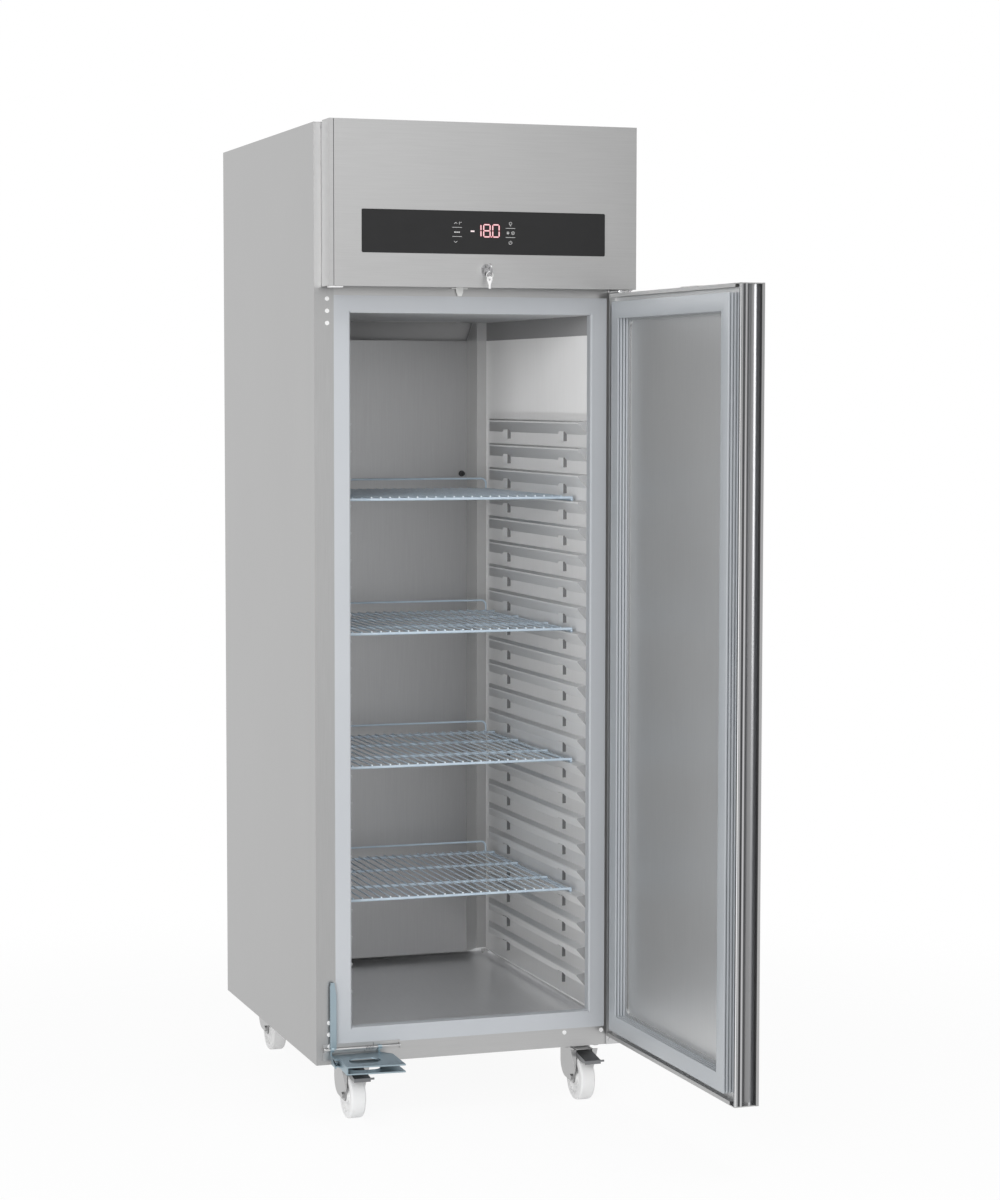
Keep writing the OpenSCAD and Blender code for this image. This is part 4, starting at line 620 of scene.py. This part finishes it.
def arc(shape, x, z, radius, width, start=0.0, sweep=360.0):
    """A thin ring on the glass, or part of one, made by spinning a small square outline."""
    centre = at(x, GLASS_Y, z)
    place = (Matrix.Translation(centre) @ Matrix.Rotation(radians(start), 4, "Y")
             @ Matrix.Translation((radius * MM, 0, 0)) @ Matrix.Diagonal((width * MM, PRINT_T * MM, 1, 1)))
    made = bmesh.ops.create_grid(shape, x_segments=1, y_segments=1, size=0.5, matrix=place)["verts"]
    bmesh.ops.delete(shape, geom=list({f for v in made for f in v.link_faces}), context="FACES_ONLY")
    edges = edges_of(made)
    whole = sweep >= 360
    bmesh.ops.spin(shape, geom=made + edges, cent=centre, axis=(0, 1, 0), angle=radians(sweep),
                   steps=ARC_STEPS, use_merge=whole)
    if not whole:
        bmesh.ops.holes_fill(shape, edges=[e for e in shape.edges if e.is_boundary], sides=4)


# %% [markdown]
# Behind the printed glass a red seven-segment display shows the temperature. Each digit is lit from the
# same seven pointed bars. A second, thinner bar on top gives the brighter core that a lit segment has.
# Eight, nought and one then differ only in which of the seven bars they hold.

# %% Lit temperature
SEGMENT_W, CORE_W = 3.1, 1.9
SEGMENT_GAP = 0.6
CORE_PROUD = 0.06
HALF_W, HALF_H = 7.05, 12.7
DIGIT_Z = 1890.9
SEGMENTS = {"a": (0, 1, 0), "g": (0, 0, 0), "d": (0, -1, 0), "b": (1, 0.5, 90), "c": (1, -0.5, 90),
            "f": (-1, 0.5, 90), "e": (-1, -0.5, 90)}
DIGITS = [("bc", 338.0), ("abcdefg", 358.2), ("abcdef", 378.2)]
MINUS_X, MINUS_Z, MINUS_L = 326.5, DIGIT_Z - 1.5, 8.2
POINT_X = 368.2


def lit_temperature(name, width, proud, material):
    """Minus eighteen and a nought behind the point, as lit bars of one width."""
    shape = bmesh.new()
    for lit_bars, middle in DIGITS:
        for key in lit_bars:
            across, up, angle = SEGMENTS[key]
            length = (2 * HALF_W if angle == 0 else HALF_H) - SEGMENT_GAP
            bar(shape, middle + across * HALF_W, DIGIT_Z + up * HALF_H, length + width - SEGMENT_W, width,
                angle, pointed=True, proud=proud)
    bar(shape, MINUS_X, MINUS_Z, MINUS_L, SEGMENT_W, proud=proud)
    bar(shape, POINT_X, DIGIT_Z - HALF_H, width, width, proud=proud)
    return new_piece(name, shape, material, "fascia")


lit_temperature("display_digits", SEGMENT_W, 0.0, led_red)
lit_temperature("display_digit_cores", CORE_W, CORE_PROUD, led_core)

# %% [markdown]
# Small white marks beside the temperature show where to touch. They are printed as thin lines in two
# columns of three rows with rules between them. The left column holds arrows and a row of three blocks,
# the right one a lamp, a frost star with a dial, and a switch mark.

# %% Touch marks
MARK_W = 0.7
LEFT_X, RIGHT_X = 292.4, 410.5
RULE_L, RULE_ROWS = 21, (1896.9, 1877.8)
UP_ROW, DOWN_ROW = 1905.8, 1866.6
BLOCK_ROW, STAR_ROW = 1886.9, 1887.0
LAMP_ROW, SWITCH_ROW = 1907.0, 1866.8
STAR_X, DIAL_X = RIGHT_X - 5.5, RIGHT_X + 5.5
ARROW_L, ARROW_LEAN = 4.6, 45

marks = bmesh.new()
for rule_z in RULE_ROWS:
    for column_x in (LEFT_X, RIGHT_X):
        bar(marks, column_x, rule_z, RULE_L, MARK_W)
for arrow_z, lean in ((UP_ROW, ARROW_LEAN), (DOWN_ROW, -ARROW_LEAN)):
    for side in (-1, 1):
        bar(marks, LEFT_X - 3 + side * 1.6, arrow_z, ARROW_L, MARK_W, -side * lean)
bar(marks, LEFT_X + 5, UP_ROW, 5.5, MARK_W, 90)
bar(marks, LEFT_X + 8.4, UP_ROW + 1.6, 3, MARK_W)
for offset in (-4.5, 0, 4.5):
    bar(marks, LEFT_X + offset, BLOCK_ROW, 3.2, 2.2)
arc(marks, RIGHT_X, LAMP_ROW, 2.9, MARK_W)
bar(marks, RIGHT_X, LAMP_ROW - 4.6, 2.6, 1.1)
for angle in (0, 60, 120):
    bar(marks, STAR_X, STAR_ROW, 7, MARK_W, angle)
arc(marks, DIAL_X, STAR_ROW, 3.1, MARK_W)
bar(marks, DIAL_X, STAR_ROW, 1.6, 1.6)
arc(marks, RIGHT_X, SWITCH_ROW, 3.4, MARK_W, start=-55, sweep=290)
bar(marks, RIGHT_X, SWITCH_ROW + 2.4, 3.8, MARK_W, 90)
new_piece("display_touch_marks", marks, led_white, "fascia")

# %% [markdown]
# The fascia's front sheet is folded back at its left end over a narrow edge strip, which leaves a
# seam with a bright fold beside it. A moulded foot closes the fold from below. Two thin drawn-out cubes
# give the seam and its fold, and a flat cube with bevelled edges gives the foot. The seam's cube is
# black, painted shade that stands in for the shade in its gap.

# %% Seam and foot at the fascia's left end


def block(shape, low, high, round_mm=0.0):
    """A box between two corners in cabinet millimetres, its edges broken where a radius is given."""
    start, end = at(*low), at(*high)
    place = Matrix.Translation((start + end) / 2) @ Matrix.Diagonal((*(end - start), 1))
    made = bmesh.ops.create_cube(shape, size=1, matrix=place)["verts"]
    if round_mm:
        bmesh.ops.bevel(shape, geom=edges_of(made), offset=round_mm * MM, affect="EDGES", segments=2,
                        profile=0.5, material=-1)


SEAM_X = (FASCIA_LOW.x - CORNER.x) / MM + 8.4
SEAM_W, FOLD_W = 1.3, 1.6
SEAM_PROUD, FOLD_PROUD, SUNK = 0.06, 0.1, 0.2
FOOT_X, FOOT_Y, FOOT_Z, FOOT_ROUND = (18.0, 46.0), (2, 26), (-4.2, -1.2), 0.6
FACE_Y = (FASCIA_LOW.y - CORNER.y) / MM

seam_z0, seam_z1 = FASCIA_LOW.z / MM + 1.0, FASCIA_HIGH.z / MM - 1.0
# Painted shade: a black strip stands in for the shade in the seam's gap.
seam = bmesh.new()
block(seam, (SEAM_X, FACE_Y - SEAM_PROUD, seam_z0), (SEAM_X + SEAM_W, FACE_Y + SUNK, seam_z1))
new_piece("fascia_seam_painted_shade", seam, black_plastic, "fascia")
fold = bmesh.new()
block(fold, (SEAM_X + SEAM_W, FACE_Y - FOLD_PROUD, seam_z0),
      (SEAM_X + SEAM_W + FOLD_W, FACE_Y + SUNK, seam_z1))
new_piece("fascia_fold", fold, chrome, "fascia")
foot = bmesh.new()
foot_low, foot_high = spans(FOOT_X, [FACE_Y + y for y in FOOT_Y], [seam_z0 + z for z in FOOT_Z])
block(foot, foot_low, foot_high, FOOT_ROUND)
new_piece("fascia_foot", foot, nylon_white, "fascia")

# %% [markdown]
# The door's gasket is extruded from soft vinyl, cut at forty-five degrees and welded into a ring. Its
# sides are bellows, so that a magnet in its face can pull it against the frame. The outline is drawn
# once, its corners are rounded by a bevel of its points, and it is then extruded along the four sides
# of the ring. Each stretch ends in the mitre plane of its corner, which a matrix for that corner gives.

# %% Outline of the gasket
BEADS = 4
GROOVE_H, GROOVE_D = 2.6, 6.0
BEAD_ROUND = 1.4
SEAL_W = 36.0
GASKET_LOW, GASKET_HIGH = shut_box("door_gasket")
SEAL_H = (GASKET_HIGH.y - GASKET_LOW.y) / MM
BEAD_H = (SEAL_H - (BEADS - 1) * GROOVE_H) / BEADS


def bellows_side(across, inwards):
    """Corner points of one side of the outline, from the door's panel to the sealing face."""
    points = []
    for bead in range(BEADS):
        low = bead * (BEAD_H + GROOVE_H)
        points += [(across, low), (across, low + BEAD_H)]
        if bead < BEADS - 1:
            points.append((across + inwards, low + BEAD_H + GROOVE_H / 2))
    return points


SEAL_OUTLINE = bellows_side(0, GROOVE_D) + bellows_side(SEAL_W, -GROOVE_D)[::-1]
print("gasket", round(SEAL_H, 1), "mm deep, beads of", round(BEAD_H, 2), "mm")

# %% Ring of the gasket


def corner_place(right, top):
    """Puts an outline that is drawn inwards along X and up along Y in a corner's mitre plane."""
    x = GASKET_HIGH.x if right else GASKET_LOW.x
    z = GASKET_HIGH.z if top else GASKET_LOW.z
    inward_x, inward_z = (-1 if right else 1), (-1 if top else 1)
    return Matrix(((inward_x, 0, -inward_z, x), (0, 1, 0, GASKET_LOW.y), (inward_z, 0, inward_x, z),
                   (0, 0, 0, 1)))


ring = bmesh.new()
corners = [ring.verts.new((x * MM, y * MM, 0)) for x, y in SEAL_OUTLINE]
ring.faces.new(corners)
bmesh.ops.bevel(ring, geom=corners, offset=BEAD_ROUND * MM, affect="VERTICES", segments=3, profile=0.5,
                material=-1)
bmesh.ops.delete(ring, geom=ring.faces[:], context="FACES_ONLY")
ROUND_THE_DOOR = [(False, False), (True, False), (True, True), (False, True)]
PLACES = [corner_place(right, top) for right, top in ROUND_THE_DOOR]
bmesh.ops.transform(ring, matrix=PLACES[0], verts=ring.verts)
edges = ring.edges[:]
for here, there in zip(PLACES, PLACES[1:] + PLACES[:1]):
    pulled = bmesh.ops.extrude_edge_only(ring, edges=edges)["geom"]
    edges = [g for g in pulled if isinstance(g, bmesh.types.BMEdge)]
    ends = list(dict.fromkeys(v for e in edges for v in e.verts))
    bmesh.ops.transform(ring, matrix=there @ here.inverted(), verts=ends)
bmesh.ops.transform(ring, matrix=SWING, verts=ring.verts)
gasket = new_piece("door_gasket_bellows", ring, gasket_vinyl, "door", sharp=60)
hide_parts("door_gasket")

# %% [markdown]
# Sheet-metal covers are held by screws with low round heads. Half the head's outline is drawn from the
# middle of its socket to its rim, as a lathe tool would follow it, and one full spin makes the head.

# %% Screws
HEAD_OUTLINE = [(0.0, 0.45), (0.34, 0.45), (0.38, 0.95), (0.62, 1.0), (0.86, 0.78), (1.0, 0.35), (1.0, 0.0)]


def screw_head(shape, place, out, radius=4.5, height=2.0):
    """A low round head with a socket, standing out from a face."""
    turn = Vector(out).to_track_quat("Z", "Y").to_matrix().to_4x4()
    matrix = Matrix.Translation(place) @ turn @ Matrix.Diagonal((radius * MM, radius * MM, height * MM, 1))
    points = [shape.verts.new(matrix @ Vector((r, 0, h))) for r, h in HEAD_OUTLINE]
    lines = [shape.edges.new(pair) for pair in zip(points, points[1:])]
    bmesh.ops.spin(shape, geom=points + lines, cent=place, axis=out, angle=2 * pi, steps=18, use_merge=True)


COVER_LOW, COVER_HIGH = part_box("machine_cover")
cover_y = (COVER_HIGH.y - CORNER.y) / MM
cover_z0 = COVER_LOW.z / MM
cover_z1 = COVER_HIGH.z / MM
SCREW_XS, SIDE_SCREW_XS, SCREW_IN = (32, 347.5, 663), (26, 669), 14
BACK = (0, 1, 0)

cover_screws = bmesh.new()
for x in SCREW_XS:
    for z in (cover_z0 + SCREW_IN, cover_z1 - SCREW_IN):
        screw_head(cover_screws, at(x, cover_y, z), BACK)
for x in SIDE_SCREW_XS:
    screw_head(cover_screws, at(x, cover_y, (cover_z0 + cover_z1) / 2), BACK)
new_piece("cover_screws", cover_screws, nickel, "cabinet")

# %% [markdown]
# The liner's folded floor is sealed to the walls with a thin bead along the top of its coves. The
# bead is painted near white, a painted highlight for the bright line round the bottom of the cold
# store. A small round outline is extruded along three walls. Its two corners are mitred in the way of
# the gasket's.

# %% Bead along the floor's coves
FLOOR_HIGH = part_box("liner_floor")[1]
WALL_X0, WALL_X1, WALL_Y = 70.0, 625.0, 740.0
BEAD_R = 1.6
BEAD_SIDES = 10
BEAD_FRONT = 30.0
bead_z = FLOOR_HIGH.z / MM + BEAD_R


def bead_place(x, y, across, along):
    """Puts an outline that is drawn away from the wall along X at one station of the bead."""
    corner = at(x, y, bead_z)
    return Matrix(((across, 0, 0, corner.x), (along, 0, 1, corner.y), (0, 1, 0, corner.z), (0, 0, 0, 1)))


BEAD_PLACES = [bead_place(WALL_X0, BEAD_FRONT, 1, 0), bead_place(WALL_X0, WALL_Y, 1, -1),
               bead_place(WALL_X1, WALL_Y, -1, -1), bead_place(WALL_X1, BEAD_FRONT, -1, 0)]
bead = bmesh.new()
bmesh.ops.create_circle(bead, segments=BEAD_SIDES, radius=BEAD_R * MM,
                        matrix=Matrix.Translation((BEAD_R * MM, 0, 0)))
bmesh.ops.transform(bead, matrix=BEAD_PLACES[0], verts=bead.verts)
edges = bead.edges[:]
for here, there in zip(BEAD_PLACES, BEAD_PLACES[1:]):
    pulled = bmesh.ops.extrude_edge_only(bead, edges=edges)["geom"]
    edges = [g for g in pulled if isinstance(g, bmesh.types.BMEdge)]
    ends = list(dict.fromkeys(v for e in edges for v in e.verts))
    bmesh.ops.transform(bead, matrix=there @ here.inverted(), verts=ends)
bmesh.ops.holes_fill(bead, edges=[e for e in bead.edges if e.is_boundary], sides=BEAD_SIDES)
# Painted highlight: the near-white bead stands in for the light along the coves.
new_piece("floor_seal_bead_painted_highlight", bead, silicone, "cabinet", sharp=50)

# %% [markdown]
# A wire shelf is welded bare and then dipped in a plastic coat, which draws a thick, glossy drop over
# the cut end of each lengthwise wire. The drops are painted paler than the coat on the wires, a painted
# highlight for the row of bright dots seen from the front. Each drop is a small ball a little wider
# than its wire, and every shelf carries its own row as it slides.

# %% Dipped ends of the shelf wires
WIRES, WIRE_PITCH, WIRE_D = 20, 20.65, 3.5
FRAME_WIRE_D, CROSS_LIFT, GRID_LIFT = 6.0, 4.5, 4.3
WIRE_LIFT = FRAME_WIRE_D / 2 + CROSS_LIFT + GRID_LIFT
COAT = 0.45
DROP_R = WIRE_D / 2 + COAT
DROP_SETBACK = 0.8

for number in (1, 2, 3, 4):
    low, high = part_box("shelf_%d" % number)
    middle = (low.x + high.x) / 2
    drops = bmesh.new()
    for wire in range(WIRES):
        x = middle + (wire - (WIRES - 1) / 2) * WIRE_PITCH * MM
        place = Matrix.Translation((x, low.y + DROP_R * DROP_SETBACK * MM, low.z + WIRE_LIFT * MM))
        bmesh.ops.create_uvsphere(drops, u_segments=12, v_segments=8, radius=DROP_R * MM, matrix=place)
    new_piece("shelf_%d_wire_drops" % number, drops, wire_dip, "shelf_%d" % number)

# %% [markdown]
# The top hinge hangs on a plate whose two bolts can be seen in the slit between the door and the
# fascia. A bolt is turned from bright bar: a round shank with its rims broken by a small bevel.

# %% Bolts of the top hinge
PLATE_Z0, PLATE_Z1 = 1767.1, 1770.1
BOLT_XS, BOLT_Y = (666.0, 687.0), -52.0
BOLT_R, NUT_H, HEAD_H, RIM = 4.6, 2.4, 1.7, 0.4
LEVEL_MM = 0.1

bolts = bmesh.new()
for bolt_x in BOLT_XS:
    for z0, z1 in ((PLATE_Z0 - NUT_H, PLATE_Z0), (PLATE_Z1, PLATE_Z1 + HEAD_H)):
        place = Matrix.Translation(at(bolt_x, BOLT_Y, (z0 + z1) / 2))
        made = bmesh.ops.create_cone(bolts, cap_ends=True, segments=20, radius1=BOLT_R * MM,
                                     radius2=BOLT_R * MM, depth=(z1 - z0) * MM, matrix=place)["verts"]
        rims = [e for e in edges_of(made) if abs(e.verts[0].co.z - e.verts[1].co.z) < LEVEL_MM * MM]
        bmesh.ops.bevel(bolts, geom=rims, offset=RIM * MM, affect="EDGES", segments=2, profile=0.5,
                        material=-1)
new_piece("hinge_bolts", bolts, chrome, "cabinet")

# %% [markdown]
# The studio is a pale floor under a white room. The floor fades into the room's white a little way
# out, so no horizon shows, and close to the wheels it keeps a soft shadow. For that its material is
# mostly plain white to the camera and to reflections, and for the rest a lit, matt surface.

# %% Floor
FLOOR_SIZE = 16.0
FADE_FROM, FADE_TO = 1.1, 2.6
WHITE_SHARE = 0.92


def stage_sheet(name, place, material):
    """A flat piece of the studio: a square of one metre, drawn out and set up by its place."""
    shape = bmesh.new()
    bmesh.ops.create_grid(shape, x_segments=1, y_segments=1, size=0.5, matrix=place)
    made = bpy.data.objects.new(name, bpy.data.meshes.new(name))
    shape.to_mesh(made.data)
    shape.free()
    made.data.materials.append(material)
    bpy.context.scene.collection.objects.link(made)
    return made


def floor_material():
    """Pale floor: part of it lit, part of it plain white to the camera, clear further out."""
    made, tree = new_material("studio_floor_pale")
    place = add(tree, "ShaderNodeTexCoord").outputs["Object"]
    far = add(tree, "ShaderNodeVectorMath", {"operation": "LENGTH"}, links={0: place}).outputs["Value"]
    fade = add(tree, "ShaderNodeMapRange", {"interpolation_type": "SMOOTHSTEP"},
               values={"From Min": FADE_FROM, "From Max": FADE_TO}, links={"Value": far}).outputs["Result"]
    lit_part = add(tree, "ShaderNodeBsdfDiffuse", values={"Color": linear("#fcfcfc")})
    white = add(tree, "ShaderNodeEmission", values={"Strength": 1.0})
    rays = add(tree, "ShaderNodeLightPath")
    seen = add(tree, "ShaderNodeMath", {"operation": "MAXIMUM"},
               links={0: rays.outputs["Is Camera Ray"], 1: rays.outputs["Is Glossy Ray"]})
    share = add(tree, "ShaderNodeMath", {"operation": "MULTIPLY"}, values={1: WHITE_SHARE},
                links={0: seen.outputs["Value"]})
    mixed = add(tree, "ShaderNodeMixShader", links={0: share.outputs["Value"], 1: lit_part.outputs["BSDF"],
                                                    2: white.outputs["Emission"]})
    clear = add(tree, "ShaderNodeBsdfTransparent")
    faded = add(tree, "ShaderNodeMixShader", links={0: fade, 1: mixed.outputs["Shader"],
                                                    2: clear.outputs["BSDF"]})
    add(tree, "ShaderNodeOutputMaterial", links={"Surface": faded.outputs["Shader"]})
    return made


floor = stage_sheet("studio_floor", Matrix.Diagonal((FLOOR_SIZE, FLOOR_SIZE, 1, 1)), floor_material())
print("floor", FLOOR_SIZE, "m wide, white from", FADE_TO, "m out")

# %% [markdown]
# The room is a plain white without walls. Rays from the camera, from reflections and through glass see
# it at full white. For soft light it is a little dimmer, so that pale sheets don't burn out.

# %% Room
ROOM_LIGHT = 0.62
room = bpy.data.worlds.new("studio_room")
room.use_nodes = True
room.node_tree.nodes.clear()
room_rays = add(room.node_tree, "ShaderNodeLightPath")
room_seen = add(room.node_tree, "ShaderNodeMath", {"operation": "MAXIMUM"},
                links={0: room_rays.outputs["Is Camera Ray"], 1: room_rays.outputs["Is Glossy Ray"]})
room_all = add(room.node_tree, "ShaderNodeMath", {"operation": "MAXIMUM"},
               links={0: room_seen.outputs["Value"], 1: room_rays.outputs["Is Transmission Ray"]})
room_level = spread(room.node_tree, room_all.outputs["Value"], ROOM_LIGHT, 1.0)
room_light = add(room.node_tree, "ShaderNodeBackground", values={"Color": linear("#ffffff")},
                 links={"Strength": room_level})
add(room.node_tree, "ShaderNodeOutputWorld", links={"Surface": room_light.outputs["Background"]})
bpy.context.scene.world = room
print("room light", ROOM_LIGHT)

# %% [markdown]
# Large flat metal faces show whatever stands opposite them. A photographer sets a grey card to the
# right of the camera's view, so that a wide sheet darkens softly to one side and its shape can be read.
# The card hangs high up, because the lower half of the cabinet mirrors the floor, and it is hidden from
# the camera itself, so that it never stands before the cabinet in a view from the right.

# %% Grey card


def card_material():
    """Grey card with a faint paper mottle."""
    made, tree = new_material("studio_card_grey")
    mottle = pattern(tree, (300, 300, 300), detail=1.0)
    finish(tree, tint(tree, mottle, "#4a4a4a", "#525252"), 0.8)
    return made


CARD_W, CARD_H = 2.35, 1.65
CARD_MIDDLE = (2.725, -3.0, 2.175)
card_place = (Matrix.Translation(CARD_MIDDLE) @ Matrix.Rotation(radians(90), 4, "X")
              @ Matrix.Diagonal((CARD_W, CARD_H, 1, 1)))
card = stage_sheet("studio_card", card_place, card_material())
card.visible_camera = False
print("card", CARD_W, "by", CARD_H, "m")

# %% [markdown]
# Two soft boxes give the light its direction. A large one to the left of the camera models the shapes,
# and a smaller one overhead lights the tops and keeps the shadow under the cabinet. Both are wide
# square area lamps, so no shadow has a hard edge, and each is simply turned to look at a point.

# %% Lamps


def soft_lamp(name, place, target, size, watts):
    """A large square soft box that looks at a point."""
    made = bpy.data.objects.new(name, bpy.data.lights.new(name, "AREA"))
    made.data.shape = "SQUARE"
    made.data.size = size
    made.data.energy = watts
    aim = (Vector(target) - Vector(place)).to_track_quat("-Z", "Y")
    made.matrix_world = Matrix.Translation(place) @ aim.to_matrix().to_4x4()
    bpy.context.scene.collection.objects.link(made)
    return made


soft_lamp("key_lamp", place=(-2.8, -4.2, 2.0), target=(0.1, 0.2, 1.1), size=2.6, watts=105)
soft_lamp("top_lamp", place=(0.6, -1.8, 4.6), target=(0, 0, 1.0), size=2.2, watts=36)
print("lamps", len(bpy.data.lights))
